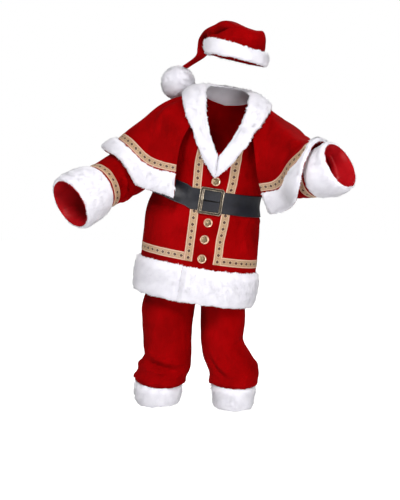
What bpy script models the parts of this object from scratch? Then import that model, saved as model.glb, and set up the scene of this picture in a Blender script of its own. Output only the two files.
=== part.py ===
import bpy
import bmesh
import numpy as np
from math import radians

# Santa suit, worn pose, metres. +Z up, the front faces -Y, the wearer's left is +X.
# The origin is the middle of the neck.

WALL = 0.0022        # velvet with its backing
SEAM = 0.00015       # each panel stops this far from a seam line
SKIN = 0.0003        # what lies on a panel starts this far above it
BRAID = 0.0013       # thickness of the braid
UNDER_FUR = 0.0007   # the backing of the fur starts this far above it
FUR = 0.019          # thickness of the fur bands


def unit(a):
    return a / np.maximum(np.linalg.norm(a, axis=-1, keepdims=True), 1e-12)


def ease(x, a, b):
    s = np.clip((np.asarray(x, float) - a) / (b - a), 0.0, 1.0)
    return s * s * (3.0 - 2.0 * s)


def curve(t, ts, rows):
    """Smooth curve through the rows of a table, vectorised in t."""
    ts = np.asarray(ts, float)
    rows = np.asarray(rows, float)
    flat = rows.ndim == 1
    if flat:
        rows = rows[:, None]
    t = np.clip(np.asarray(t, float), ts[0], ts[-1])
    step = np.diff(ts)[:, None]
    slope = np.diff(rows, axis=0) / step
    tang = np.empty_like(rows)
    tang[0], tang[-1] = slope[0], slope[-1]
    tang[1:-1] = (slope[:-1] * step[1:] + slope[1:] * step[:-1]) / (step[1:] + step[:-1])
    k = np.clip(np.searchsorted(ts, t, side="right") - 1, 0, len(ts) - 2)
    h = (ts[k + 1] - ts[k])[..., None]
    s = (t[..., None] - ts[k][..., None]) / h
    out = (rows[k] * (2 * s**3 - 3 * s**2 + 1) + tang[k] * h * (s**3 - 2 * s**2 + s)
           + rows[k + 1] * (3 * s**2 - 2 * s**3) + tang[k + 1] * h * (s**3 - s**2))
    return out[..., 0] if flat else out


def vec(x, y, z):
    return np.stack(np.broadcast_arrays(np.asarray(x, float), y, z), -1)


# ---- torso frame: leans to the wearer's left as it rises
LEAN = radians(9.3)
TX = np.array([np.cos(LEAN), 0.0, -np.sin(LEAN)])
TY = np.array([0.0, 1.0, 0.0])
TZ = np.array([np.sin(LEAN), 0.0, np.cos(LEAN)])


def world(p):
    return p[..., 0:1] * TX + p[..., 1:2] * TY + p[..., 2:3] * TZ


def local(p):
    return np.stack([p @ TX, p @ TY, p @ TZ], -1)


# coat rings: height, centre x, half width, depth in front, depth behind
COAT_Z = [-0.765, -0.700, -0.620, -0.525, -0.410, -0.362, -0.315, -0.260, -0.220]
COAT = [[-0.006, 0.231, 0.168, 0.168], [-0.005, 0.232, 0.167, 0.167], [-0.006, 0.233, 0.166, 0.166],
        [-0.012, 0.233, 0.166, 0.164], [-0.018, 0.225, 0.158, 0.156], [-0.018, 0.213, 0.149, 0.146],
        [-0.017, 0.213, 0.153, 0.148], [-0.014, 0.213, 0.157, 0.150], [-0.010, 0.208, 0.158, 0.148]]
COAT_Y = 0.020       # the rings' centre
HEM_Z, UNDER_Z, DOME = -0.765, -0.220, 0.265
TOP_PHI = [0, 12, 25, 45, 65, 90, 115, 140, 180]
TOP_DEG = [9.8, 17, 34, 55, 69, 81.5, 76, 68, 62]
ARM_M, ARM_PHI = 0.577, 30.0


def coat_rings(z):
    return np.moveaxis(curve(z, COAT_Z, COAT), -1, 0)


def dome_power(phi):
    return 2.0 + 2.0 * np.sin(np.radians(phi)) ** 4


def dome(phi, deg):
    """Upper body: phi round the body in degrees, deg up from the underarm."""
    xc, a, bf, bb = coat_rings(UNDER_Z)
    n = dome_power(phi)
    zeta = np.sin(np.radians(deg))
    rho = np.maximum(1.0 - zeta**n, 1e-9) ** (1.0 / n)
    c, s = np.cos(np.radians(phi)), np.sin(np.radians(phi))
    b = np.where(c > 0, bf, bb)
    return vec(xc * (1 - zeta) + a * rho * s, COAT_Y * (1 - zeta) + 0.006 * zeta - b * rho * c,
               UNDER_Z + DOME * zeta)


def top_deg(phi):
    p = np.abs((np.asarray(phi, float) + 180.0) % 360.0 - 180.0)
    return curve(p, TOP_PHI, TOP_DEG)


def coat(phi, v):
    """Coat surface: v 0..1 from the hem to the underarm, 1..2 on to the neck."""
    phi, v = np.broadcast_arrays(np.asarray(phi, float), np.asarray(v, float))
    z = HEM_Z + np.clip(v, 0, 1) * (UNDER_Z - HEM_Z)
    xc, a, bf, bb = coat_rings(z)
    c, s = np.cos(np.radians(phi)), np.sin(np.radians(phi))
    low = vec(xc + a * s, COAT_Y - np.where(c > 0, bf, bb) * c, z)
    high = dome(phi, np.clip(v - 1, 0, 1) * top_deg(phi))
    return world(np.where((v > 1)[..., None], high, low))


def coat_v(z):
    return (z - HEM_Z) / (UNDER_Z - HEM_Z)


def coat_xz(x, z):
    """Point of the coat's front over local x at height z."""
    x, z = np.broadcast_arrays(np.asarray(x, float), np.asarray(z, float))
    xc, a, bf, bb = coat_rings(np.minimum(z, UNDER_Z))
    zeta = np.clip((z - UNDER_Z) / DOME, 0, 0.98)
    xc = xc * (1 - zeta)
    phi = np.degrees(np.arcsin(np.clip((x - xc) / a, -0.98, 0.98)))
    for _ in range(8):
        n = dome_power(phi)
        rho = (1 - zeta**n) ** (1 / n)
        phi = np.degrees(np.arcsin(np.clip((x - xc) / (a * rho), -0.98, 0.98)))
    n = dome_power(phi)
    rho = (1 - zeta**n) ** (1 / n)
    y = COAT_Y * (1 - zeta) + 0.006 * zeta - bf * rho * np.cos(np.radians(phi))
    return world(vec(x, y, z))


def edge_phi(x, v):
    """Angle at which the upright line local x lies on the coat."""
    z = HEM_Z + np.clip(v, 0, 1) * (UNDER_Z - HEM_Z)
    xc, a, bf, bb = coat_rings(z)
    return np.degrees(np.arcsin((x - xc) / a))


def clear_of_body(p, gap, soft=0.02):
    """Moves points out until they are gap away from the coat's surface."""
    q = local(p)
    z = np.clip(q[..., 2], HEM_Z, UNDER_Z)
    xc, a, bf, bb = coat_rings(z)
    zeta = np.maximum(q[..., 2] - UNDER_Z, 0.0) / DOME
    zc = np.clip(zeta, 0, 1)
    xc = xc * (1 - zc)
    yc = COAT_Y * (1 - zc) + 0.006 * zc
    dx, dy = q[..., 0] - xc, q[..., 1] - yc
    b = np.where(dy < 0, bf, bb)
    rho = np.hypot(dx / a, dy / b)
    n = dome_power(np.degrees(np.arctan2(dx / a, -dy / b)))
    s = np.maximum((rho**n + zeta**n) ** (1 / n), 1e-6)
    reach = np.sqrt(dx**2 + dy**2 + (zeta * DOME) ** 2)
    m = 1 + 1.2 * gap * s / np.maximum(reach, 1e-6)
    new = 0.5 * (s + m + np.sqrt((s - m) ** 2 + soft**2)) if soft else np.maximum(s, m)
    k = (new / s)[..., None]
    out = vec(xc + dx * k[..., 0], yc + dy * k[..., 0],
              np.where(zeta > 0, UNDER_Z + zeta * DOME * k[..., 0], q[..., 2]))
    return world(out)


# ---- sleeves: x, y, z of the arm's line and the sleeve's radius
ARM_T = [0.00, 0.15, 0.32, 0.48, 0.60, 0.72, 0.86, 1.00]
ARM = {
    -1: [[-0.222, 0.015, -0.090, 0.100], [-0.272, 0.018, -0.128, 0.102], [-0.328, 0.020, -0.187, 0.100],
         [-0.385, 0.006, -0.246, 0.097], [-0.447, -0.050, -0.281, 0.092], [-0.5025, -0.119, -0.308, 0.0875],
         [-0.550, -0.160, -0.3345, 0.091], [-0.597, -0.200, -0.361, 0.096]],
    1: [[0.200, 0.010, -0.145, 0.100], [0.246, -0.012, -0.165, 0.088], [0.258, -0.072, -0.213, 0.084],
        [0.262, -0.150, -0.250, 0.083], [0.298, -0.220, -0.250, 0.085], [0.344, -0.279, -0.246, 0.0885],
        [0.387, -0.303, -0.238, 0.091], [0.425, -0.330, -0.214, 0.096]],
}
CUFF_T = 0.72        # the fur cuff and its lining start here


def arm_line(side, t):
    c = curve(t, ARM_T, ARM[side])
    e = 0.13
    d = unit(curve(np.minimum(t + e, 1.0), ARM_T, ARM[side])[..., :3]
             - curve(np.maximum(t - e, 0.0), ARM_T, ARM[side])[..., :3])
    return c[..., :3], c[..., 3], d


def sleeve(side, psi, t):
    """psi 0 underarm, 90 front, 180 top, 270 behind; t from the armhole to the opening."""
    psi, t = np.broadcast_arrays(np.asarray(psi, float), np.asarray(t, float))
    c, r, d = arm_line(side, t)
    ahead = np.array([0.0, -1.0, 0.0])
    f = unit(ahead - (d @ ahead)[..., None] * d)
    down = np.cross(d, f) * side
    a = np.radians(psi)
    ring = c + r[..., None] * (np.cos(a)[..., None] * down + np.sin(a)[..., None] * f)
    m = ARM_M * (1 - np.cos(a)) / 2
    hole = coat(side * (90.0 - ARM_PHI * np.sin(a)), 1.0 + np.maximum(m, 1e-6))
    w = ease(t, 0.0, 0.24)[..., None]
    return clear_of_body(hole * (1 - w) + ring * w, SKIN + 0.006 * ease(t, 0, 0.10), soft=0.0)


def clear_of_arms(p, gap, soft=0.012):
    for side in (-1, 1):
        t = np.linspace(0.02, 0.80, 60)
        c, r, d = arm_line(side, t)
        # over the fur cuff, and close over the shoulder
        r = r + 0.022 * ease(t, CUFF_T - 0.07, CUFF_T) - (0.014 - 0.006 * side) * (1 - ease(t, 0.10, 0.34))
        diff = p[..., None, :] - c
        dist = np.linalg.norm(diff, axis=-1)
        g = dist - r
        i = np.argmin(g, axis=-1)
        take = lambda arr: np.take_along_axis(arr, i[..., None], -1)[..., 0]
        gi, di = take(g), take(dist)
        ci, ri = c[i], r[i]
        new = 0.5 * (gi + gap + np.sqrt((gi - gap) ** 2 + soft**2))
        p = ci + (p - ci) * ((ri + new) / np.maximum(di, 1e-6))[..., None]
    return p


# ---- shoulder cape: neck angle, then three points down each rib (upper, braid's upper edge, edge)
CAPE = [
    [-38, -0.169, -0.165, -0.118, -0.189, -0.175, -0.209, -0.200, -0.170, -0.336],
    [-50, -0.224, -0.120, -0.061, -0.250, -0.150, -0.196, -0.273, -0.160, -0.317],
    [-65, -0.256, -0.080, -0.023, -0.302, -0.115, -0.173, -0.354, -0.125, -0.290],
    [-80, -0.245, -0.030, 0.000, -0.358, -0.070, -0.120, -0.431, -0.070, -0.217],
    [-92, -0.248, 0.000, 0.020, -0.390, 0.000, -0.104, -0.483, 0.000, -0.157],
    [-115, -0.226, 0.050, 0.004, -0.365, 0.085, -0.120, -0.440, 0.100, -0.200],
    [-145, -0.154, 0.120, -0.015, -0.299, 0.165, -0.154, -0.361, 0.185, -0.255],
    [-180, -0.010, 0.150, -0.059, -0.039, 0.185, -0.237, -0.058, 0.205, -0.355],
    [-215, 0.141, 0.120, -0.069, 0.225, 0.150, -0.230, 0.248, 0.165, -0.352],
    [-245, 0.190, 0.050, -0.030, 0.300, 0.020, -0.158, 0.338, 0.002, -0.258],
    [-263, 0.186, 0.000, -0.012, 0.326, -0.122, -0.124, 0.382, -0.200, -0.172],
    [-272, 0.185, -0.035, -0.015, 0.332, -0.190, -0.134, 0.360, -0.272, -0.150],
    [-285, 0.178, -0.085, -0.035, 0.289, -0.318, -0.150, 0.292, -0.394, -0.204],
    [-298, 0.163, -0.115, -0.062, 0.250, -0.299, -0.202, 0.280, -0.352, -0.312],
    [-310, 0.139, -0.140, -0.099, 0.190, -0.230, -0.264, 0.238, -0.248, -0.375],
    [-322, 0.107, -0.165, -0.137, 0.126, -0.180, -0.282, 0.171, -0.175, -0.400],
]
CAPE_N = len(CAPE) - 1
CAPE_S = [0.0, 0.42, 0.74, 1.0]
CAPE_TRIM = (0.745, 0.806)
CAPE_FUR = (0.828, 0.998)


def cape(w, s):
    """w 0..CAPE_N from the right front edge round the back to the left, s from the neck to the edge."""
    w, s = np.broadcast_arrays(np.asarray(w, float), np.asarray(s, float))
    row = curve(w, np.arange(CAPE_N + 1), CAPE)
    phi = row[..., 0]
    neck = coat(phi, 1.9)
    pts = [neck, row[..., 1:4], row[..., 4:7], row[..., 7:10]]
    ts = np.array(CAPE_S)
    # one smooth rib through four points
    slope = [(pts[i + 1] - pts[i]) / (ts[i + 1] - ts[i]) for i in range(3)]
    tang = [slope[0], 0.5 * (slope[0] + slope[1]), 0.5 * (slope[1] + slope[2]), slope[2]]
    out = np.zeros(w.shape + (3,))
    for i in range(3):
        h = ts[i + 1] - ts[i]
        q = ((s - ts[i]) / h)[..., None]
        seg = (pts[i] * (2 * q**3 - 3 * q**2 + 1) + tang[i] * h * (q**3 - 2 * q**2 + q)
               + pts[i + 1] * (3 * q**2 - 2 * q**3) + tang[i + 1] * h * (q**3 - q**2))
        inside = (s >= ts[i]) & ((s < ts[i + 1]) | (i == 2))
        out = np.where(inside[..., None], seg, out)
    for _ in range(3):
        out = clear_of_arms(out, 0.007)
        out = clear_of_body(out, 0.0007 + 0.0053 * ease(s, 0.0, 0.18), soft=0.02)
    return out


# ---- fur shawl collar, right half mirrored: outer edge and neck edge in the torso's frame
COLLAR_K = [0.0, 0.14, 0.30, 0.42, 0.52, 0.64, 0.78, 0.90, 1.0]
COLLAR_OUT = [[0.0006, -0.160, -0.268], [0.053, -0.158, -0.206], [0.111, -0.145, -0.110],
              [0.146, -0.115, -0.050], [0.162, -0.085, -0.012], [0.172, -0.040, 0.018],
              [0.160, 0.045, 0.024], [0.100, 0.118, 0.014], [0.000, 0.145, 0.006]]
COLLAR_IN = [[0.0006, -0.150, -0.185], [0.030, -0.138, -0.135], [0.058, -0.112, -0.070],
             [0.074, -0.088, -0.012], [0.082, -0.060, 0.030], [0.086, -0.015, 0.060],
             [0.076, 0.035, 0.076], [0.045, 0.070, 0.084], [0.000, 0.080, 0.086]]


def collar(k, q):
    """k -1 (right end) .. 0 (back) .. 1 (left end), q 0 outer edge .. 1 neck edge."""
    k, q = np.broadcast_arrays(np.asarray(k, float), np.asarray(q, float))
    t = 1 - np.abs(k)
    o, i = curve(t, COLLAR_K, COLLAR_OUT), curve(t, COLLAR_K, COLLAR_IN)
    flip = np.stack([np.where(k < 0, -1.0, 1.0), np.ones_like(k), np.ones_like(k)], -1)
    p = (o + (i - o) * q[..., None]) * flip
    lift = unit(p - np.array([0.0, 0.02, -0.15])) * (0.010 * np.sin(np.pi * q))[..., None]
    return clear_of_body(world(p + lift), 0.0105, soft=0.004)


# ---- trousers: heights, and for each leg centre x, half width, centre y, half depth
TR_Z = [-1.205, -1.150, -1.090, -1.050, -1.000, -0.930, -0.850, -0.780, -0.715]
TR = {
    -1: [[-0.273, 0.084, 0.010, 0.090], [-0.270, 0.090, 0.010, 0.096], [-0.265, 0.100, 0.010, 0.104],
         [-0.248, 0.106, 0.012, 0.108], [-0.234, 0.099, 0.012, 0.104], [-0.231, 0.098, 0.012, 0.104],
         [-0.231, 0.102, 0.016, 0.106], [-0.226, 0.108, 0.022, 0.108], [-0.210, 0.100, 0.022, 0.118]],
    1: [[0.039, 0.080, 0.000, 0.088], [0.038, 0.086, 0.000, 0.094], [0.040, 0.099, 0.000, 0.102],
        [0.036, 0.101, 0.002, 0.104], [0.016, 0.100, 0.006, 0.102], [-0.010, 0.087, 0.010, 0.100],
        [-0.008, 0.090, 0.016, 0.102], [-0.008, 0.090, 0.022, 0.106], [-0.014, 0.094, 0.022, 0.116]],
}
CROTCH_Z, WAIST_Z = -0.715, -0.425
SEAT_Z = [-0.715, -0.640, -0.560, -0.480, -0.425]
SEAT = [[-0.109, 0.199, 0.130], [-0.107, 0.197, 0.134], [-0.102, 0.190, 0.132],
        [-0.095, 0.180, 0.126], [-0.090, 0.174, 0.122]]
BAND_TOP = -0.385


def trousers(side, u, z):
    """u 0 outer seam .. 1 inner seam or centre front, on to 2 behind."""
    u, z = np.broadcast_arrays(np.asarray(u, float), np.asarray(z, float))
    cx, rx, cy, ry = np.moveaxis(curve(np.minimum(z, CROTCH_Z), TR_Z, TR[side]), -1, 0)
    xc, hw, hd = np.moveaxis(curve(np.clip(z, CROTCH_Z, WAIST_Z), SEAT_Z, SEAT), -1, 0)
    a = np.pi * u
    # towards the crotch the leg's ring reaches the middle line, and above it follows that line
    reach = ease(z, -0.80, CROTCH_Z) * (SEAT[0][0] - (cx - side * rx)) * (1 - np.cos(a)) / 2
    leg = vec(cx + side * rx * np.cos(a) + reach + (xc - SEAT[0][0]), cy - ry * np.sin(a), z)
    h = np.where(u <= 1, u, 2 - u) * np.pi / 2
    seat = vec(xc + side * hw * np.cos(h), 0.020 - np.where(u <= 1, 1, -1) * hd * np.sin(h), z)
    w = ease(z, CROTCH_Z - 0.001, CROTCH_Z + 0.13)[..., None]
    p = leg * (1 - w) + seat * w
    p[..., 0] += side * SEAM
    return p


# ---- hat: each ring from its low point at the back left to its high point at the front right.
# along the fold, height, of both points; half width and shift across the fold; slope across
HAT_C = np.array([0.042, 0.000, 0.000])
HAT_G = np.array([-0.7828, 0.6223, 0.0])
HAT_X = np.array([0.6223, 0.7828, 0.0])
HAT = [[0.112, 0.211, -0.112, 0.171, 0.112, 0.000, -0.143], [0.110, 0.252, -0.110, 0.214, 0.110, 0.000, -0.143],
       [0.113, 0.274, -0.116, 0.250, 0.114, 0.000, -0.143], [0.115, 0.282, -0.117, 0.287, 0.113, 0.000, -0.140],
       [0.118, 0.286, -0.096, 0.321, 0.106, 0.000, -0.120], [0.1235, 0.2875, -0.035, 0.341, 0.093, 0.000, -0.090],
       [0.1275, 0.285, 0.030, 0.345, 0.078, -0.003, -0.050], [0.131, 0.279, 0.080, 0.338, 0.066, -0.004, 0.000],
       [0.133, 0.268, 0.119, 0.316, 0.060, -0.003, 0.000], [0.135, 0.252, 0.149, 0.285, 0.052, -0.006, 0.000],
       [0.139, 0.232, 0.162, 0.245, 0.042, -0.012, 0.000], [0.153, 0.204, 0.176, 0.211, 0.026, -0.024, 0.000],
       [0.219, 0.1638, 0.243, 0.1738, 0.012, -0.032, 0.000]]
HAT_N = len(HAT) - 1
# the soft crown sags to its folds: share of its height above the band, over x
SAG_X = [-0.120, -0.083, -0.062, -0.041, -0.024, 0.001, 0.022, 0.047, 0.068, 0.081, 0.106, 0.1226, 0.135, 0.150, 0.170]
SAG = [0.92, 0.895, 0.87, 0.90, 0.98, 1.00, 0.967, 0.888, 0.828, 0.79, 0.77, 0.80, 0.872, 1.00, 1.00]
HAT_RIM = 1.25       # the fur band reaches up to here
POM, POM_R = np.array([-0.189, 0.130, 0.105]), 0.070


def hat(a, v):
    """a 0 at the ring's high point, 90 across the fold; v 0..HAT_N from the rim to the tail's end."""
    a, v = np.broadcast_arrays(np.radians(np.asarray(a, float)), np.asarray(v, float))
    g = np.moveaxis(curve(v, np.arange(HAT_N + 1), HAT), -1, 0)
    along = (g[0] + g[2]) / 2 + (g[2] - g[0]) / 2 * np.cos(a)
    q = g[4] * np.sin(a)
    z = (g[1] + g[3]) / 2 + (g[3] - g[1]) / 2 * np.cos(a) + g[6] * q
    across = g[5] + q
    p = HAT_C + along[..., None] * HAT_G + across[..., None] * HAT_X + z[..., None] * np.array([0, 0, 1.0])
    over = z - (0.2475 + 0.138 * along - 0.143 * across)
    p[..., 2] -= np.maximum(over, 0) * (1 - curve(p[..., 0], SAG_X, SAG))
    return p


# ---- solids
def normals(fn, u, v, du, dv, sign):
    n = np.cross(fn(u + du, v) - fn(u - du, v), fn(u, v + dv) - fn(u, v - dv))
    return unit(n) * sign


parts = []


def solid(name, verts, faces, material):
    mesh = bpy.data.meshes.new(name)
    mesh.from_pydata([tuple(p) for p in verts], [], faces)
    bm = bmesh.new()
    bm.from_mesh(mesh)
    bmesh.ops.recalc_face_normals(bm, faces=bm.faces)
    bm.to_mesh(mesh)
    bm.free()
    mesh.materials.append(material)
    obj = bpy.data.objects.new(name, mesh)
    parts.append(obj)
    return obj


def sheet(name, material, p, n, lo, hi, round_u=False, round_v=False, pull=(0, 0, 0, 0)):
    """Closed solid between p + lo n and p + hi n on a grid; pull draws in the edges u0, u1, v0, v1."""
    p = p.copy()
    if pull[0]:
        p[0] += unit(p[1] - p[0]) * pull[0]
    if pull[1]:
        p[-1] += unit(p[-2] - p[-1]) * pull[1]
    if pull[2]:
        p[:, 0] += unit(p[:, 1] - p[:, 0]) * pull[2]
    if pull[3]:
        p[:, -1] += unit(p[:, -2] - p[:, -1]) * pull[3]
    lo = np.broadcast_to(np.asarray(lo, float), p.shape[:2])[..., None]
    hi = np.broadcast_to(np.asarray(hi, float), p.shape[:2])[..., None]
    nu, nv = p.shape[:2]
    verts = np.concatenate([(p + n * hi).reshape(-1, 3), (p + n * lo).reshape(-1, 3)])
    far = nu * nv
    at = lambda i, j, k=0: (i % nu) * nv + (j % nv) + k * far
    faces = []
    iu = range(nu if round_u else nu - 1)
    jv = range(nv if round_v else nv - 1)
    for i in iu:
        for j in jv:
            faces.append((at(i, j), at(i + 1, j), at(i + 1, j + 1), at(i, j + 1)))
            faces.append((at(i, j, 1), at(i, j + 1, 1), at(i + 1, j + 1, 1), at(i + 1, j, 1)))
    if not round_v:
        for i in iu:
            faces.append((at(i, 0), at(i, 0, 1), at(i + 1, 0, 1), at(i + 1, 0)))
            faces.append((at(i, nv - 1), at(i + 1, nv - 1), at(i + 1, nv - 1, 1), at(i, nv - 1, 1)))
    if not round_u:
        for j in jv:
            faces.append((at(0, j), at(0, j + 1), at(0, j + 1, 1), at(0, j, 1)))
            faces.append((at(nu - 1, j), at(nu - 1, j, 1), at(nu - 1, j + 1, 1), at(nu - 1, j + 1)))
    return solid(name, verts, faces, material)


def pile(q, thick=FUR, edge=0.30):
    """Height of a fur band across its width, q 0..1."""
    return thick * (edge + (1 - edge) * np.sqrt(np.maximum(1 - np.abs(2 * q - 1) ** 3.0, 0)))


def grid(us, vs):
    return np.meshgrid(np.asarray(us, float), np.asarray(vs, float), indexing="ij")


class Net:
    """A panel's own points and normals. What lies on the panel is laid on these."""

    def __init__(self, p, n, vs):
        self.p, self.n, self.vs = p, n, np.asarray(vs, float)

    def lay(self, cols, vals):
        """cols are column numbers, whole or between, vals heights or lengths along the columns."""
        cols, vals = np.asarray(cols, float), np.asarray(vals, float)
        i = np.clip(cols.astype(int), 0, len(self.p) - 2)
        f = (cols - i)[:, None, None]
        j = np.clip(np.searchsorted(self.vs, vals, side="right") - 1, 0, len(self.vs) - 2)
        g = ((vals - self.vs[j]) / (self.vs[j + 1] - self.vs[j]))[None, :, None]
        out = []
        for arr in (self.p, self.n):
            rows = arr[i] * (1 - f) + arr[i + 1] * f
            out.append(rows[:, j] * (1 - g) + rows[:, j + 1] * g)
        return out[0], unit(out[1])


def paint(name, colour, rough, metal=0.0):
    m = bpy.data.materials.new(name)
    m.use_nodes = True
    b = m.node_tree.nodes["Principled BSDF"]
    b.inputs["Base Color"].default_value = (*colour, 1.0)
    b.inputs["Roughness"].default_value = rough
    b.inputs["Metallic"].default_value = metal
    m.diffuse_color = (*colour, 1.0)
    return m


for old in list(bpy.data.objects):
    bpy.data.objects.remove(old, do_unlink=True)

velvet = paint("velvet", (0.32, 0.004, 0.010), 0.8)
furry = paint("fur", (0.86, 0.85, 0.90), 0.95)
braid = paint("braid", (0.62, 0.38, 0.18), 0.6)
satin = paint("satin", (0.50, 0.008, 0.012), 0.35)
leather = paint("leather", (0.025, 0.026, 0.034), 0.5)
brass = paint("brass", (0.45, 0.33, 0.16), 0.35, 1.0)
button_metal = paint("button_metal", (0.60, 0.42, 0.28), 0.35, 1.0)

# coat columns: upright lines beside the closure, then evenly to the side seam
LAP_X = -0.071
Z_ROWS = np.array([-0.765, -0.700, -0.624, -0.602, -0.570, -0.480, -0.402, -0.360, -0.318, -0.265])
LOW_ROWS = coat_v(Z_ROWS)
PSI = np.linspace(0, 180, 9)                      # round the armhole, underarm to shoulder
ARM_ROWS = ARM_M * (1 - np.cos(np.radians(PSI))) / 2
ROWS = np.concatenate([LOW_ROWS, 1 + ARM_ROWS, 1 + np.array([0.70, 0.82, 0.92, 1.0])])
DIP = np.concatenate([np.zeros(10), ARM_PHI * np.sin(np.radians(PSI)), np.zeros(4)])
RIGHT_IN, RIGHT_OUT = [-0.0345, -0.0430, -0.0520], [-0.0675, -0.0760, -0.0855]
LEFT_IN, LEFT_OUT = [0.0445, 0.0500, 0.0560], [0.0765, 0.0840, 0.0915]


def line(xs):
    """Column at the upright line through local x at the hem braid, the belt and the chest."""
    z = HEM_Z + np.clip(ROWS, 0, 1) * (UNDER_Z - HEM_Z)
    return edge_phi(curve(z, [-0.602, -0.36, -0.22], xs), ROWS)


def fan(a, b, n):
    t = np.linspace(0, 1, n + 1)[1:-1, None]
    return list(a[None] * (1 - t) + b[None] * t)


side_l, side_b = 90 - DIP, 90 + DIP
edge_r, edge_b = 270 + DIP, 270 - DIP
lap = line([LAP_X, LAP_X - 0.0095, LAP_X - 0.019])
left = [lap, line(RIGHT_OUT), line(RIGHT_IN), line([-0.005, -0.005, -0.005]), line([0.022, 0.022, 0.025]),
        line(LEFT_IN), line(LEFT_OUT)]
left_lines = left[:5]                             # the right front runs on below these
left = left + fan(left[-1], side_l, 6) + [side_l]
back = [side_b] + fan(side_b, edge_b, 10) + [edge_b]
LAP = np.array([LAP_X, LAP_X - 0.0095, LAP_X - 0.019])
ramp_out, ramp_in = 360 + line(LAP - 0.022), 360 + line(LAP - 0.004)
right = [edge_r] + fan(edge_r, ramp_out, 6) + [ramp_out, ramp_in] + [360 + c for c in left_lines]


def coat_net(cols):
    phi = np.array(cols)
    v = np.broadcast_to(ROWS, phi.shape)
    return Net(coat(phi, v), normals(coat, phi, np.clip(v, 0.002, 1.998), 0.5, 0.002, 1), ROWS)


net_l, net_b, net_r = coat_net(left), coat_net(back), coat_net(right)
sheet("coat_front_left", velvet, net_l.p, net_l.n, -WALL, 0, pull=(0, SEAM, 0, 0))
sheet("coat_back", velvet, net_b.p, net_b.n, -WALL, 0, pull=(SEAM, SEAM, 0, 0))
step = np.zeros(net_r.p.shape[:2])
step[len(right) - 6:] = -(WALL + SKIN + 0.0003)
sheet("coat_front_right", velvet, net_r.p, net_r.n, step - WALL, step, pull=(SEAM, 0, 0, 0))
# all round, for the braid, the fur and the belt: from the lap round the back to the lap
ring = Net(np.concatenate([net_l.p, net_b.p[1:], net_r.p[1:]]), np.concatenate([net_l.n, net_b.n[1:], net_r.n[1:]]),
           ROWS)
AROUND = len(left) + len(back) + len(right) - 2
RAMP = AROUND - 7                                  # column where the right front starts to step down


def lap_col(gap):
    """Column number at gap from the left front's edge."""
    return RAMP + 1 + (0.004 - gap) / 0.004


# vertical braids, from the hem braid's lower edge to under the collar
up = np.concatenate([LOW_ROWS[3:], ROWS[10:17]])
for word, cols in (("right", [1, 2]), ("left", [5, 6])):
    p, n = net_l.lay(np.array(cols) - np.array([0, 1e-9]), up)
    sheet("coat_braid_" + word, braid, p, n, SKIN, SKIN + BRAID)
cols = np.concatenate([np.arange(6, RAMP + 1), [lap_col(0.0006)]])
p, n = ring.lay(cols, LOW_ROWS[3:5])
sheet("coat_braid_hem", braid, p, n, SKIN, SKIN + BRAID, pull=(0.0004, 0, 0, 0))

# fur round the hem, open at the closure
hem = np.array([-0.765, -0.761, -0.746, -0.700, -0.662, -0.638, -0.628, -0.625])
cols = np.concatenate([[0.05, 0.4], np.arange(1, RAMP + 1), [RAMP + 0.6, lap_col(0.0006)]])
p, n = ring.lay(cols, coat_v(hem))
q = (hem - hem[0]) / (hem[-1] - hem[0])
ends = np.ones(len(cols))
ends[0] = ends[-1] = 0.45
ends[1] = ends[-2] = 0.93
sheet("coat_fur_hem", furry, p, n, UNDER_FUR, UNDER_FUR + pile(q)[None] * ends[:, None])

# belt, over the braids
BELT_LO = SKIN + BRAID + SKIN
BELT_T = 0.0032
p, n = ring.lay(np.arange(0, RAMP + 1), coat_v(np.array([-0.402, -0.360, -0.318])))
sheet("belt_strap", leather, p, n, BELT_LO, BELT_LO + BELT_T, round_u=True)

# sleeves, braid, cuff linings and fur cuffs
T_ROWS = np.array([0.0, 0.07, 0.14, 0.22, 0.31, 0.40, 0.48, 0.57, 0.665, 0.705, CUFF_T])
for side, word in ((-1, "right"), (1, "left")):
    fn = lambda a, t: sleeve(side, a, t)
    psi = np.arange(16) * 22.5
    psi = np.append(psi, 360.0)
    u, t = grid(psi, T_ROWS)
    net = Net(fn(u, t), normals(fn, u, np.clip(t, 0.006, 0.994), 0.5, 0.004, -side), T_ROWS)
    sheet("sleeve_" + word, velvet, net.p[:-1], net.n[:-1], -WALL, 0, round_u=True, pull=(0, 0, 0, SEAM))
    p, n = net.lay(np.arange(16), T_ROWS[8:10])
    sheet("sleeve_braid_" + word, braid, p, n, SKIN, SKIN + BRAID, round_u=True)
    c_rows = np.array([CUFF_T, 0.86, 1.0])
    u, t = grid(psi, c_rows)
    net = Net(fn(u, t), normals(fn, u, np.clip(t, 0.74, 0.994), 0.5, 0.004, -side), c_rows)
    sheet("cuff_lining_" + word, satin, net.p[:-1], net.n[:-1], -0.0015, 0, round_u=True, pull=(0, 0, SEAM, 0))
    lo = CUFF_T + 0.003
    q = np.array([0, 0.05, 0.20, (0.86 - lo) / (1.0 - lo), 0.80, 0.95, 1.0])
    p, n = net.lay(np.arange(16), lo + (1.0 - lo) * q)
    under = UNDER_FUR + (0.0009 if side > 0 else 0)     # the bent cuff's quads are twisted
    sheet("cuff_fur_" + word, furry, p, n, under, under + pile(q, 0.020), round_u=True)

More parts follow.
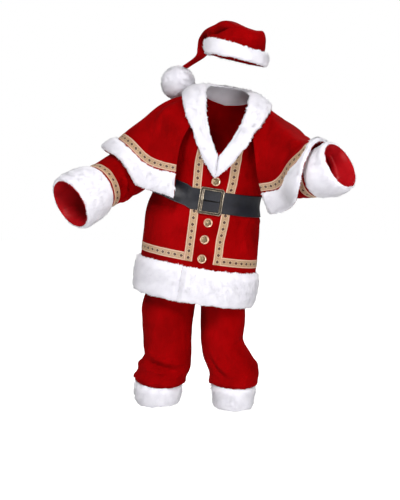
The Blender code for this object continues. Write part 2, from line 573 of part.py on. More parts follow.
# cape panels, braid and fur on one net
Q_ROWS = np.array([0, 0.12, 0.5, 0.88, 1.0])
S_ROWS = np.concatenate([[0.0, 0.18, 0.36, 0.54], CAPE_TRIM, CAPE_FUR[0] + (1.0 - CAPE_FUR[0]) * Q_ROWS])
W_COLS = np.concatenate([np.arange(0, 5, 0.5), [5, 6, 7, 8], [8.5, 9, 9.3, 9.65], np.arange(10, 13.1, 1 / 3),
                         [13.5, 14, 14.5, 15]])
w, s = grid(W_COLS, S_ROWS)
wide = cape(w, s)
cape_n = unit(np.cross(np.gradient(wide, axis=0), np.gradient(wide, axis=1)))
cape_net = Net(wide, cape_n, S_ROWS)
for word, c0, c1 in (("right", 0, 8), ("back", 8, 18), ("left", 18, len(W_COLS) - 1)):
    pull = (0 if c0 == 0 else SEAM, SEAM if c1 < len(W_COLS) - 1 else 0, 0, 0)
    sheet("cape_" + word, velvet, wide[c0:c1 + 1], cape_n[c0:c1 + 1], -WALL, 0, pull=pull)
last = len(W_COLS) - 1
p, n = cape_net.lay(np.concatenate([[0.03], np.arange(1, last), [last - 0.03]]), S_ROWS[4:6])
sheet("cape_braid", braid, p, n, SKIN, SKIN + BRAID)
q = Q_ROWS
cols = np.concatenate([[0.03, 0.2], np.arange(1, last), [last - 0.2, last - 0.03]])
p, n = cape_net.lay(cols, CAPE_FUR[0] + (1.0 - CAPE_FUR[0]) * q)
ends = np.ones(len(cols))
ends[0] = ends[-1] = 0.5
ends[1] = ends[-2] = 0.95
sheet("cape_fur", furry, p, n, UNDER_FUR, UNDER_FUR + pile(q)[None] * ends[:, None])


# collar, laid over the cape and the fronts
def over_cape(p, gap):
    w, s = grid(np.linspace(0, CAPE_N, 91), np.linspace(0, 1, 41))
    cp = cape(w, s)
    cn = normals(cape, np.clip(w, 0.05, CAPE_N - 0.05), np.clip(s, 0.02, 0.98), 0.05, 0.02, 1)
    cp, cn = cp.reshape(-1, 3), cn.reshape(-1, 3)
    for _ in range(2):
        d = p[..., None, :] - cp
        i = np.argmin((d**2).sum(-1), axis=-1)
        off = np.take_along_axis(d, i[..., None, None], -2)[..., 0, :]
        h = (off * cn[i]).sum(-1)
        side = np.linalg.norm(off - h[..., None] * cn[i], axis=-1)
        push = np.maximum(gap - h, 0) * (1 - ease(side, 0.012, 0.035)) * (h > -0.05)
        p = p + cn[i] * push[..., None]
    return p


a = np.concatenate([[-0.9999, -0.985], np.linspace(-0.93, 0.93, 25), [0.985, 0.9999]])
k, q = grid(a, np.array([0, 0.07, 0.28, 0.5, 0.72, 0.93, 1.0]))
p = over_cape(collar(k, q), 0.008)
nu, nv = p.shape[:2]
du = np.gradient(p, axis=0)
dv = np.gradient(p, axis=1)
n = -unit(np.cross(du, dv))
for i, keep in ((0, 0.0), (-1, 0.0), (1, 0.4), (-2, 0.4)):     # the two lapels meet face to face
    n[i] = unit(n[i] - (1 - keep) * (n[i] @ TX)[:, None] * TX)
ends = np.ones(nu)
ends[0] = ends[-1] = 0.5
ends[1] = ends[-2] = 0.93
sheet("collar_fur", furry, p, n, 0.0, pile(q, 0.018) * ends[:, None])


# buckle and prong, flat on the belt
def frame_loop(w, h, r):
    pts = []
    for cx, cz, a0 in ((1, 1, 0), (-1, 1, 90), (-1, -1, 180), (1, -1, 270)):
        for i in range(4):
            a = radians(a0 + 30 * i)
            pts.append((cx * (w / 2 - r) + r * np.cos(a), cz * (h / 2 - r) + r * np.sin(a)))
        nxt = {(1, 1): (0, 1), (-1, 1): (-1, 0), (-1, -1): (0, -1), (1, -1): (1, 0)}[(cx, cz)]
        pts.append((nxt[0] * w / 2, nxt[1] * h / 2))
    return np.array(pts)


BUCKLE_X, BUCKLE_Z = 0.000, -0.360
outer, inner = frame_loop(0.092, 0.106, 0.010), frame_loop(0.070, 0.084, 0.004)
loops = np.stack([outer, outer * 0.8 + inner * 0.2, outer * 0.2 + inner * 0.8, inner])
x, z = BUCKLE_X + loops[..., 0], BUCKLE_Z + loops[..., 1]
p, n = coat_xz(x, z), normals(coat_xz, x, z, 0.002, 0.002, 1)
LO = BELT_LO + BELT_T + 0.0008
hi = LO + np.array([0.0025, 0.0045, 0.0045, 0.0025])[:, None] * np.ones(x.shape)
sheet("buckle_frame", brass, p, n, LO, hi, round_v=True)
x, z = grid(BUCKLE_X + np.linspace(-0.0345, 0.0345, 6), BUCKLE_Z + np.array([-0.004, 0.0, 0.004]))
p, n = coat_xz(x, z), normals(coat_xz, x, z, 0.002, 0.002, 1)
hi = LO + np.array([0.0020, 0.0036, 0.0020])[None, :] * np.ones(x.shape)
sheet("buckle_prong", brass, p, n, LO, hi)

# domed buttons
PROFILE = [(0.0, 0.0), (0.0160, 0.0), (0.0172, 0.0024), (0.0158, 0.0040), (0.0115, 0.0060),
           (0.0060, 0.0079), (0.0, 0.0086)]
for i, (bx, bz, seat) in enumerate(((0.007, -0.281, 0), (0.003, -0.444, 0.0009), (0.000, -0.510, 0), (0.002, -0.586, 0))):
    c = coat_xz(np.array(bx), np.array(bz))
    ax = normals(coat_xz, np.array(bx), np.array(bz), 0.002, 0.002, 1)
    c = c - ax * seat
    e1 = unit(np.cross(ax, TZ))
    e2 = np.cross(e1, ax)
    verts, faces = [c + ax * SKIN], []
    seg = 16
    for r, h in PROFILE[1:-1]:
        for j in range(seg):
            a = 2 * np.pi * j / seg
            verts.append(c + ax * (SKIN + h) + (e1 * np.cos(a) + e2 * np.sin(a)) * r)
    verts.append(c + ax * (SKIN + PROFILE[-1][1]))
    rings = len(PROFILE) - 2
    for j in range(seg):
        k2 = (j + 1) % seg
        faces.append((0, 1 + k2, 1 + j))
        for m in range(rings - 1):
            b0, b1 = 1 + m * seg, 1 + (m + 1) * seg
            faces.append((b0 + j, b0 + k2, b1 + k2, b1 + j))
        end = 1 + (rings - 1) * seg
        faces.append((end + j, end + k2, len(verts) - 1))
    solid("button_%d" % (i + 1), verts, faces, button_metal)

# trousers
LEG_ROWS = np.array([-1.192, -1.150, -1.100, -1.060, -1.010, -0.950, -0.870, -0.790, -0.750, -0.715,
                     -0.680, -0.640, -0.590, -0.500, -0.425])
for side, word in ((-1, "right"), (1, "left")):
    fn = lambda a, z: trousers(side, a, z)
    nets = []
    for part, u0 in (("front", 0.0), ("back", 1.0)):
        u, z = grid(u0 + np.append(u0 * 1e-6, np.linspace(0, 1, 9)[1:]), LEG_ROWS)
        zn = np.clip(z, -1.188, -0.429)
        p = fn(u, z)
        around = normals(fn, u % 2, zn, 0.02, 0.003, -side)
        inside = normals(fn, np.clip(u, u0 + 0.016, u0 + 0.984), zn, 0.015, 0.003, -side)
        split = (z > CROTCH_Z + 0.001) & (np.abs(u - 1) < 0.01)
        n = np.where(split[..., None], inside, around)
        nets.append((p, n))
        sheet("trousers_%s_%s" % (part, word), velvet, p, n, -0.002, 0, pull=(SEAM, SEAM, 0, 0))
    leg = Net(np.concatenate([nets[0][0], nets[1][0][1:]]), np.concatenate([nets[0][1], nets[1][1][1:]]), LEG_ROWS)
    q = np.array([0, 0.05, 0.20, (1.192 - 1.150) / 0.092, 0.80, 0.95, 1.0])
    p, n = leg.lay(np.arange(16), -1.192 + 0.092 * q)
    sheet("ankle_fur_" + word, furry, p, n, UNDER_FUR, UNDER_FUR + pile(q, 0.017), round_u=True)


def waist(a, z):
    a, z = np.broadcast_arrays(np.radians(np.asarray(a, float)), np.asarray(z, float))
    xc, hw, hd = SEAT[-1]
    return vec(xc + (hw - 0.001) * np.sin(a) + (z - WAIST_Z) * 0.12, 0.020 - (hd - 0.001) * np.cos(a), z)


u, z = grid(np.arange(28) * 360 / 28, np.array([WAIST_Z + 0.0004, BAND_TOP]))
p, n = waist(u, z), normals(waist, u, z, 0.5, 0.002, 1)
sheet("waistband", velvet, p, n, -0.0024, 0.0004, round_u=True)

# hat
rows = np.array([0, 0.6, HAT_RIM, 1.6, 2, 2.5, 3, 3.5, 4, 5, 6, 7, 8, 9, 10, 11, 12.0])
psi = np.append(np.arange(20) * 18.0, 360.0)
u, v = grid(psi, rows)
p = hat(u, v)
around = np.concatenate([p[-2:-1], p, p[1:2]])
crown = Net(p, unit(np.cross(np.gradient(around, axis=0)[1:-1], np.gradient(p, axis=1))), rows)
sheet("hat_crown", velvet, crown.p[:-1], crown.n[:-1], -0.002, 0, round_u=True)
q = np.array([0, 0.05, 0.20, 0.6 / HAT_RIM, 0.80, 0.95, 1.0])
p, n = crown.lay(np.arange(20), HAT_RIM * q)
sheet("hat_band", furry, p, n, UNDER_FUR, UNDER_FUR + pile(q, 0.018), round_u=True)
verts, faces = [POM + np.array([0, 0, POM_R])], []
seg, rings = 20, 9
for i in range(1, rings + 1):
    th = np.pi * i / (rings + 1)
    for j in range(seg):
        ph = 2 * np.pi * j / seg
        verts.append(POM + POM_R * np.array([np.sin(th) * np.cos(ph), np.sin(th) * np.sin(ph), np.cos(th)]))
verts.append(POM - np.array([0, 0, POM_R]))
for j in range(seg):
    k2 = (j + 1) % seg
    faces.append((0, 1 + j, 1 + k2))
    for m in range(rings - 1):
        b0, b1 = 1 + m * seg, 1 + (m + 1) * seg
        faces.append((b0 + j, b1 + j, b1 + k2, b0 + k2))
    end = 1 + (rings - 1) * seg
    faces.append((end + j, len(verts) - 1, end + k2))
solid("hat_pompom", verts, faces, furry)

group = bpy.data.collections.new("santa_suit")
bpy.context.scene.collection.children.link(group)
for obj in parts:
    group.objects.link(obj)
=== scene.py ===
from math import radians, pi

import bmesh
import bpy
import numpy as np

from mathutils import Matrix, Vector

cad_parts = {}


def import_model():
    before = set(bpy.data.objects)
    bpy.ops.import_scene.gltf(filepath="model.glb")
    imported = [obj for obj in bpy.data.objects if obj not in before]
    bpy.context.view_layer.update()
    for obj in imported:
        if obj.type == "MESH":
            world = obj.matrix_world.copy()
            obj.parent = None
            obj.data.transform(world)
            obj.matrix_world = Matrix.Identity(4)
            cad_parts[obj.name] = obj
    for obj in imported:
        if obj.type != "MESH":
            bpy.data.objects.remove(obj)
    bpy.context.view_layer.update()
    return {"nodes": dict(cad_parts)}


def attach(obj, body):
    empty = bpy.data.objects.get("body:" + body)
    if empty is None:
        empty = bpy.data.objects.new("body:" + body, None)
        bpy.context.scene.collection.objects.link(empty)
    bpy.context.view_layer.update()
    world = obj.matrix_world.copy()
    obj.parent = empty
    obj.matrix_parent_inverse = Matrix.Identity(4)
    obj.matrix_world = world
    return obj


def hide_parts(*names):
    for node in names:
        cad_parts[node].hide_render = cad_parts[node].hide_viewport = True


# Santa suit, worn pose, metres. +Z up, the front faces -Y, the wearer's left is +X.
# The surfaces are those of the solids, made finer here, with folds, pile and patterns.

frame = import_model()

WALL = 0.0022        # velvet with its backing
LIGHT_WALL = 0.0020  # the trousers' and the hat's
LINING = 0.0015      # the cuffs' satin
SEAM = 0.00015       # each panel stops this far from a seam line
SKIN = 0.0003        # what lies on a panel starts this far above it
BRAID = 0.0013       # thickness of the braid
UNDER_FUR = 0.0007   # the backing of the fur starts this far above it
FUR = 0.019          # thickness of the fur at the hem and the cape


def unit(a):
    return a / np.maximum(np.linalg.norm(a, axis=-1, keepdims=True), 1e-12)


def ease(x, a, b):
    s = np.clip((np.asarray(x, float) - a) / (b - a), 0.0, 1.0)
    return s * s * (3.0 - 2.0 * s)


def hermite(p0, p1, t0, t1, h, s):
    """Cubic between two points with their slopes, s 0..1 over the length h."""
    return (p0 * (2 * s**3 - 3 * s**2 + 1) + t0 * h * (s**3 - 2 * s**2 + s)
            + p1 * (3 * s**2 - 2 * s**3) + t1 * h * (s**3 - s**2))


def curve(t, ts, rows):
    """Smooth curve through the rows of a table, vectorised in t."""
    ts = np.asarray(ts, float)
    rows = np.asarray(rows, float)
    flat = rows.ndim == 1
    if flat:
        rows = rows[:, None]
    t = np.clip(np.asarray(t, float), ts[0], ts[-1])
    step = np.diff(ts)[:, None]
    slope = np.diff(rows, axis=0) / step
    tang = np.empty_like(rows)
    tang[0], tang[-1] = slope[0], slope[-1]
    tang[1:-1] = (slope[:-1] * step[1:] + slope[1:] * step[:-1]) / (step[1:] + step[:-1])
    k = np.clip(np.searchsorted(ts, t, side="right") - 1, 0, len(ts) - 2)
    h = (ts[k + 1] - ts[k])[..., None]
    s = (t[..., None] - ts[k][..., None]) / h
    out = hermite(rows[k], rows[k + 1], tang[k], tang[k + 1], h, s)
    return out[..., 0] if flat else out


def columns(t, ts, rows):
    """The same, with an array for each column of the table."""
    return np.moveaxis(curve(t, ts, rows), -1, 0)


def pair(a, b):
    """Both as arrays of one shape."""
    return np.broadcast_arrays(np.asarray(a, float), np.asarray(b, float))


def between(span, share):
    """The place at a share, 0..1, of a span."""
    return span[0] + (span[1] - span[0]) * share


def vec(x, y, z):
    return np.stack(np.broadcast_arrays(np.asarray(x, float), y, z), -1)


# ---- torso frame: leans to the wearer's left as it rises
LEAN = radians(9.3)
TX = np.array([np.cos(LEAN), 0.0, -np.sin(LEAN)])
TY = np.array([0.0, 1.0, 0.0])
TZ = np.array([np.sin(LEAN), 0.0, np.cos(LEAN)])


def world(p):
    return p[..., 0:1] * TX + p[..., 1:2] * TY + p[..., 2:3] * TZ


def local(p):
    return np.stack([p @ TX, p @ TY, p @ TZ], -1)


# coat rings: height, centre x, half width, depth in front, depth behind
COAT_Z = [-0.765, -0.700, -0.620, -0.525, -0.410, -0.362, -0.315, -0.260, -0.220]
COAT = [[-0.006, 0.231, 0.168, 0.168], [-0.005, 0.232, 0.167, 0.167], [-0.006, 0.233, 0.166, 0.166],
        [-0.012, 0.233, 0.166, 0.164], [-0.018, 0.225, 0.158, 0.156], [-0.018, 0.213, 0.149, 0.146],
        [-0.017, 0.213, 0.153, 0.148], [-0.014, 0.213, 0.157, 0.150], [-0.010, 0.208, 0.158, 0.148]]
COAT_Y = 0.020       # the rings' centre
TOP_Y = 0.006        # and the neck's
HEM_Z, UNDER_Z, DOME = -0.765, -0.220, 0.265
TOP_PHI = [0, 12, 25, 45, 65, 90, 115, 140, 180]
TOP_DEG = [9.8, 17, 34, 55, 69, 81.5, 76, 68, 62]
ARM_M, ARM_PHI = 0.577, 30.0


def coat_rings(z):
    return columns(z, COAT_Z, COAT)


def coat_z(v):
    return HEM_Z + np.clip(v, 0, 1) * (UNDER_Z - HEM_Z)


def dome_power(phi):
    return 2.0 + 2.0 * np.sin(np.radians(phi)) ** 4


def dome_rho(phi, zeta):
    """Half width of the upper body at its share zeta of the height, as a share of the underarm's."""
    n = dome_power(phi)
    return np.maximum(1.0 - zeta**n, 1e-9) ** (1.0 / n)


def dome(phi, deg):
    """Upper body: phi round the body in degrees, deg up from the underarm."""
    xc, a, bf, bb = coat_rings(UNDER_Z)
    zeta = np.sin(np.radians(deg))
    rho = dome_rho(phi, zeta)
    c, s = np.cos(np.radians(phi)), np.sin(np.radians(phi))
    b = np.where(c > 0, bf, bb)
    return vec(xc * (1 - zeta) + a * rho * s, COAT_Y * (1 - zeta) + TOP_Y * zeta - b * rho * c,
               UNDER_Z + DOME * zeta)


def top_deg(phi):
    p = np.abs((np.asarray(phi, float) + 180.0) % 360.0 - 180.0)
    return curve(p, TOP_PHI, TOP_DEG)


def coat(phi, v):
    """Coat surface: v 0..1 from the hem to the underarm, 1..2 on to the neck."""
    phi, v = pair(phi, v)
    z = coat_z(v)
    xc, a, bf, bb = coat_rings(z)
    c, s = np.cos(np.radians(phi)), np.sin(np.radians(phi))
    low = vec(xc + a * s, COAT_Y - np.where(c > 0, bf, bb) * c, z)
    high = dome(phi, np.clip(v - 1, 0, 1) * top_deg(phi))
    return world(np.where((v > 1)[..., None], high, low))


def coat_v(z):
    return (z - HEM_Z) / (UNDER_Z - HEM_Z)


def coat_xz(x, z):
    """Point of the coat's front over local x at height z."""
    x, z = pair(x, z)
    xc, a, bf, bb = coat_rings(np.minimum(z, UNDER_Z))
    zeta = np.clip((z - UNDER_Z) / DOME, 0, 0.98)
    xc = xc * (1 - zeta)
    phi = np.degrees(np.arcsin(np.clip((x - xc) / a, -0.98, 0.98)))
    for _ in range(8):
        phi = np.degrees(np.arcsin(np.clip((x - xc) / (a * dome_rho(phi, zeta)), -0.98, 0.98)))
    y = COAT_Y * (1 - zeta) + TOP_Y * zeta - bf * dome_rho(phi, zeta) * np.cos(np.radians(phi))
    return world(vec(x, y, z))


def clear_of_body(p, gap, soft):
    """Moves points out until they are gap away from the coat's surface; soft rounds off where that starts."""
    q = local(p)
    z = np.clip(q[..., 2], HEM_Z, UNDER_Z)
    xc, a, bf, bb = coat_rings(z)
    zeta = np.maximum(q[..., 2] - UNDER_Z, 0.0) / DOME
    zc = np.clip(zeta, 0, 1)
    xc = xc * (1 - zc)
    yc = COAT_Y * (1 - zc) + TOP_Y * zc
    dx, dy = q[..., 0] - xc, q[..., 1] - yc
    b = np.where(dy < 0, bf, bb)
    rho = np.hypot(dx / a, dy / b)
    n = dome_power(np.degrees(np.arctan2(dx / a, -dy / b)))
    s = np.maximum((rho**n + zeta**n) ** (1 / n), 1e-6)
    reach = np.sqrt(dx**2 + dy**2 + (zeta * DOME) ** 2)
    m = 1 + 1.2 * gap * s / np.maximum(reach, 1e-6)
    new = 0.5 * (s + m + np.sqrt((s - m) ** 2 + soft**2)) if soft else np.maximum(s, m)
    k = (new / s)[..., None]
    out = vec(xc + dx * k[..., 0], yc + dy * k[..., 0],
              np.where(zeta > 0, UNDER_Z + zeta * DOME * k[..., 0], q[..., 2]))
    return world(out)


# ---- sleeves: x, y, z of the arm's line and the sleeve's radius, for the right (-1) and the left (1)
ARM_T = [0.00, 0.15, 0.32, 0.48, 0.60, 0.72, 0.86, 1.00]
ARM = {
    -1: [[-0.222, 0.015, -0.090, 0.100], [-0.272, 0.018, -0.128, 0.102], [-0.328, 0.020, -0.187, 0.100],
         [-0.385, 0.006, -0.246, 0.097], [-0.447, -0.050, -0.281, 0.092], [-0.5025, -0.119, -0.308, 0.0875],
         [-0.550, -0.160, -0.3345, 0.091], [-0.597, -0.200, -0.361, 0.096]],
    1: [[0.200, 0.010, -0.145, 0.100], [0.246, -0.012, -0.165, 0.088], [0.258, -0.072, -0.213, 0.084],
        [0.262, -0.150, -0.250, 0.083], [0.298, -0.220, -0.250, 0.085], [0.344, -0.279, -0.246, 0.0885],
        [0.387, -0.303, -0.238, 0.091], [0.425, -0.330, -0.214, 0.096]],
}
CUFF_T = 0.72        # the fur cuff and its lining start here


def arm_line(side, t):
    c = curve(t, ARM_T, ARM[side])
    e = 0.13
    d = unit(curve(np.minimum(t + e, 1.0), ARM_T, ARM[side])[..., :3]
             - curve(np.maximum(t - e, 0.0), ARM_T, ARM[side])[..., :3])
    return c[..., :3], c[..., 3], d


def sleeve(side, psi, t):
    """psi 0 underarm, 90 front, 180 top, 270 behind; t from the armhole to the opening."""
    psi, t = pair(psi, t)
    c, r, d = arm_line(side, t)
    ahead = np.array([0.0, -1.0, 0.0])
    f = unit(ahead - (d @ ahead)[..., None] * d)
    down = np.cross(d, f) * side
    a = np.radians(psi)
    ring = c + r[..., None] * (np.cos(a)[..., None] * down + np.sin(a)[..., None] * f)
    m = ARM_M * (1 - np.cos(a)) / 2
    hole = coat(side * (90.0 - ARM_PHI * np.sin(a)), 1.0 + np.maximum(m, 1e-6))
    w = ease(t, 0.0, 0.24)[..., None]
    return clear_of_body(hole * (1 - w) + ring * w, SKIN + 0.006 * ease(t, 0, 0.10), soft=0.0)


def clear_of_arms(p, gap, soft=0.012):
    for side in (-1, 1):
        t = np.linspace(0.02, 0.80, 60)
        c, r, d = arm_line(side, t)
        # over the fur cuff, and close over the shoulder
        r = r + 0.022 * ease(t, CUFF_T - 0.07, CUFF_T) - (0.014 - 0.006 * side) * (1 - ease(t, 0.10, 0.34))
        diff = p[..., None, :] - c
        dist = np.linalg.norm(diff, axis=-1)
        g = dist - r
        i = np.argmin(g, axis=-1)
        take = lambda arr: np.take_along_axis(arr, i[..., None], -1)[..., 0]
        gi, di = take(g), take(dist)
        ci, ri = c[i], r[i]
        new = 0.5 * (gi + gap + np.sqrt((gi - gap) ** 2 + soft**2))
        p = ci + (p - ci) * ((ri + new) / np.maximum(di, 1e-6))[..., None]
    return p


# ---- shoulder cape: neck angle, then three points down each rib (upper, braid's upper edge, edge)
CAPE = [
    [-38, -0.169, -0.165, -0.118, -0.189, -0.175, -0.209, -0.200, -0.170, -0.336],
    [-50, -0.224, -0.120, -0.061, -0.250, -0.150, -0.196, -0.273, -0.160, -0.317],
    [-65, -0.256, -0.080, -0.023, -0.302, -0.115, -0.173, -0.354, -0.125, -0.290],
    [-80, -0.245, -0.030, 0.000, -0.358, -0.070, -0.120, -0.431, -0.070, -0.217],
    [-92, -0.248, 0.000, 0.020, -0.390, 0.000, -0.104, -0.483, 0.000, -0.157],
    [-115, -0.226, 0.050, 0.004, -0.365, 0.085, -0.120, -0.440, 0.100, -0.200],
    [-145, -0.154, 0.120, -0.015, -0.299, 0.165, -0.154, -0.361, 0.185, -0.255],
    [-180, -0.010, 0.150, -0.059, -0.039, 0.185, -0.237, -0.058, 0.205, -0.355],
    [-215, 0.141, 0.120, -0.069, 0.225, 0.150, -0.230, 0.248, 0.165, -0.352],
    [-245, 0.190, 0.050, -0.030, 0.300, 0.020, -0.158, 0.338, 0.002, -0.258],
    [-263, 0.186, 0.000, -0.012, 0.326, -0.122, -0.124, 0.382, -0.200, -0.172],
    [-272, 0.185, -0.035, -0.015, 0.332, -0.190, -0.134, 0.360, -0.272, -0.150],
    [-285, 0.178, -0.085, -0.035, 0.289, -0.318, -0.150, 0.284, -0.390, -0.204],
    [-298, 0.163, -0.115, -0.062, 0.250, -0.299, -0.202, 0.270, -0.350, -0.308],
    [-310, 0.139, -0.140, -0.099, 0.190, -0.230, -0.264, 0.238, -0.248, -0.375],
    [-322, 0.107, -0.165, -0.137, 0.126, -0.180, -0.282, 0.171, -0.175, -0.400],
]
CAPE_N = len(CAPE) - 1
NECK_V = 1.9            # the cape starts this high on the coat
CAPE_S = [0.0, 0.42, 0.74, 1.0]         # where the neck and those three points lie, of 0..1
CAPE_TRIM, CAPE_FUR = (0.745, 0.806), (0.817, 0.998)


def cape(w, s):
    """w 0..CAPE_N from the right front edge round the back to the left, s from the neck to the edge."""
    w, s = pair(w, s)
    row = curve(w, np.arange(CAPE_N + 1), CAPE)
    phi = row[..., 0]
    pts = [coat(phi, NECK_V), row[..., 1:4], row[..., 4:7], row[..., 7:10]]
    ts = np.array(CAPE_S)
    # one smooth rib through four points
    slope = [(pts[i + 1] - pts[i]) / (ts[i + 1] - ts[i]) for i in range(3)]
    tang = [slope[0], 0.5 * (slope[0] + slope[1]), 0.5 * (slope[1] + slope[2]), slope[2]]
    out = np.zeros(w.shape + (3,))
    for i in range(3):
        h = ts[i + 1] - ts[i]
        q = ((s - ts[i]) / h)[..., None]
        seg = hermite(pts[i], pts[i + 1], tang[i], tang[i + 1], h, q)
        inside = (s >= ts[i]) & ((s < ts[i + 1]) | (i == 2))
        out = np.where(inside[..., None], seg, out)
    for _ in range(3):
        out = clear_of_arms(out, 0.007)
        out = clear_of_body(out, 0.0007 + 0.0053 * ease(s, 0.0, 0.18), soft=0.02)
    return out


# ---- fur shawl collar: its left half's outer edge and neck edge in the torso's frame, mirrored for the right
COLLAR_K = [0.0, 0.14, 0.30, 0.42, 0.52, 0.64, 0.78, 0.90, 1.0]
COLLAR_OUT = [[0.0006, -0.160, -0.268], [0.053, -0.158, -0.206], [0.111, -0.145, -0.110],
              [0.146, -0.115, -0.050], [0.162, -0.085, -0.012], [0.172, -0.040, 0.018],
              [0.160, 0.045, 0.024], [0.100, 0.118, 0.014], [0.000, 0.145, 0.006]]
COLLAR_IN = [[0.0006, -0.150, -0.185], [0.030, -0.138, -0.135], [0.058, -0.112, -0.070],
             [0.074, -0.088, -0.012], [0.082, -0.060, 0.030], [0.086, -0.015, 0.060],
             [0.076, 0.035, 0.076], [0.045, 0.070, 0.084], [0.000, 0.080, 0.086]]


def collar(k, q):
    """k -1 (right end) .. 0 (back) .. 1 (left end), q 0 outer edge .. 1 neck edge."""
    k, q = pair(k, q)
    t = 1 - np.abs(k)
    o, i = curve(t, COLLAR_K, COLLAR_OUT), curve(t, COLLAR_K, COLLAR_IN)
    flip = np.stack([np.where(k < 0, -1.0, 1.0), np.ones_like(k), np.ones_like(k)], -1)
    p = (o + (i - o) * q[..., None]) * flip
    lift = unit(p - np.array([0.0, 0.02, -0.15])) * (0.010 * np.sin(pi * q))[..., None]
    return clear_of_body(world(p + lift), 0.0105, soft=0.004)


# ---- trousers: heights, and for each leg centre x, half width, centre y, half depth
TR_Z = [-1.205, -1.150, -1.090, -1.050, -1.000, -0.930, -0.850, -0.780, -0.715]
TR = {
    -1: [[-0.273, 0.084, 0.010, 0.090], [-0.270, 0.090, 0.010, 0.096], [-0.265, 0.100, 0.010, 0.104],
         [-0.248, 0.106, 0.012, 0.108], [-0.234, 0.099, 0.012, 0.104], [-0.231, 0.098, 0.012, 0.104],
         [-0.231, 0.102, 0.016, 0.106], [-0.226, 0.108, 0.022, 0.108], [-0.210, 0.100, 0.022, 0.118]],
    1: [[0.039, 0.080, 0.000, 0.088], [0.038, 0.086, 0.000, 0.094], [0.040, 0.099, 0.000, 0.102],
        [0.036, 0.101, 0.002, 0.104], [0.016, 0.100, 0.006, 0.102], [-0.010, 0.087, 0.010, 0.100],
        [-0.008, 0.090, 0.016, 0.102], [-0.008, 0.090, 0.022, 0.106], [-0.014, 0.094, 0.022, 0.116]],
}
CROTCH_Z, WAIST_Z = -0.715, -0.425
SEAT_Z = [-0.715, -0.640, -0.560, -0.480, -0.425]
SEAT = [[-0.109, 0.199, 0.130], [-0.107, 0.197, 0.134], [-0.102, 0.190, 0.132],
        [-0.095, 0.180, 0.126], [-0.090, 0.174, 0.122]]


def trousers(side, u, z):
    """u 0 outer seam .. 1 inner seam or centre front, on to 2 behind."""
    u, z = pair(u, z)
    cx, rx, cy, ry = columns(np.minimum(z, CROTCH_Z), TR_Z, TR[side])
    xc, hw, hd = columns(np.clip(z, CROTCH_Z, WAIST_Z), SEAT_Z, SEAT)
    a = pi * u
    # towards the crotch the leg's ring reaches the middle line, and above it follows that line
    reach = ease(z, -0.80, CROTCH_Z) * (SEAT[0][0] - (cx - side * rx)) * (1 - np.cos(a)) / 2
    leg = vec(cx + side * rx * np.cos(a) + reach + (xc - SEAT[0][0]), cy - ry * np.sin(a), z)
    h = np.where(u <= 1, u, 2 - u) * pi / 2
    seat = vec(xc + side * hw * np.cos(h), 0.020 - np.where(u <= 1, 1, -1) * hd * np.sin(h), z)
    w = ease(z, CROTCH_Z - 0.001, CROTCH_Z + 0.13)[..., None]
    p = leg * (1 - w) + seat * w
    p[..., 0] += side * SEAM
    return p


# ---- hat: each ring between its point at the back right, where the tail falls, and the one at the front left.
# along the fold, height, of both points; half width and shift across the fold; slope across
HAT_C = np.array([0.042, 0.000, 0.000])
HAT_G = np.array([-0.7828, 0.6223, 0.0])
HAT_X = np.array([0.6223, 0.7828, 0.0])
HAT = [[0.112, 0.211, -0.112, 0.171, 0.112, 0.000, -0.143], [0.110, 0.252, -0.110, 0.214, 0.110, 0.000, -0.143],
       [0.113, 0.274, -0.116, 0.250, 0.114, 0.000, -0.143], [0.115, 0.282, -0.117, 0.287, 0.113, 0.000, -0.140],
       [0.118, 0.286, -0.096, 0.321, 0.106, 0.000, -0.120], [0.1235, 0.2875, -0.035, 0.341, 0.093, 0.000, -0.090],
       [0.1275, 0.285, 0.030, 0.345, 0.078, -0.003, -0.050], [0.131, 0.279, 0.080, 0.338, 0.066, -0.004, 0.000],
       [0.133, 0.268, 0.119, 0.316, 0.060, -0.003, 0.000], [0.135, 0.252, 0.149, 0.285, 0.052, -0.006, 0.000],
       [0.139, 0.232, 0.162, 0.245, 0.042, -0.012, 0.000], [0.153, 0.204, 0.176, 0.211, 0.026, -0.024, 0.000],
       [0.219, 0.1638, 0.243, 0.1738, 0.012, -0.032, 0.000]]
HAT_N = len(HAT) - 1
# the soft crown sags to its folds: share of its height above the band, over x
SAG_X = [-0.120, -0.083, -0.062, -0.041, -0.024, 0.001, 0.022, 0.047, 0.068, 0.081, 0.106, 0.1226, 0.135, 0.150,
         0.170]
SAG = [0.92, 0.895, 0.87, 0.90, 0.98, 1.00, 0.967, 0.888, 0.828, 0.79, 0.77, 0.80, 0.872, 1.00, 1.00]
HAT_RIM = 1.25       # the fur band reaches up to here
POM, POM_R = np.array([-0.189, 0.130, 0.105]), 0.070


def hat(a, v):
    """a 0 at the ring's front left point, 90 at its back left; v 0..HAT_N from the rim to the tail's end."""
    a, v = pair(np.radians(a), v)
    g = columns(v, np.arange(HAT_N + 1), HAT)
    along = (g[0] + g[2]) / 2 + (g[2] - g[0]) / 2 * np.cos(a)
    q = g[4] * np.sin(a)
    z = (g[1] + g[3]) / 2 + (g[3] - g[1]) / 2 * np.cos(a) + g[6] * q
    across = g[5] + q
    p = HAT_C + along[..., None] * HAT_G + across[..., None] * HAT_X + z[..., None] * np.array([0, 0, 1.0])
    over = z - (0.2475 + 0.138 * along - 0.143 * across)        # height above the fur band's sloping upper edge
    p[..., 2] -= np.maximum(over, 0) * (1 - curve(p[..., 0], SAG_X, SAG))
    return p


def normals(fn, u, v, du, dv):
    return unit(np.cross(fn(u + du, v) - fn(u - du, v), fn(u, v + dv) - fn(u, v - dv)))


def coat_face(x, z):
    """Points and normals of the coat's front."""
    return coat_xz(x, z), normals(coat_xz, x, z, 0.002, 0.002)


def pile(q, thick, edge=0.30):
    """Height of a fur band across its width, q 0..1."""
    return thick * (edge + (1 - edge) * np.sqrt(np.maximum(1 - np.abs(2 * q - 1) ** 3.0, 0)))


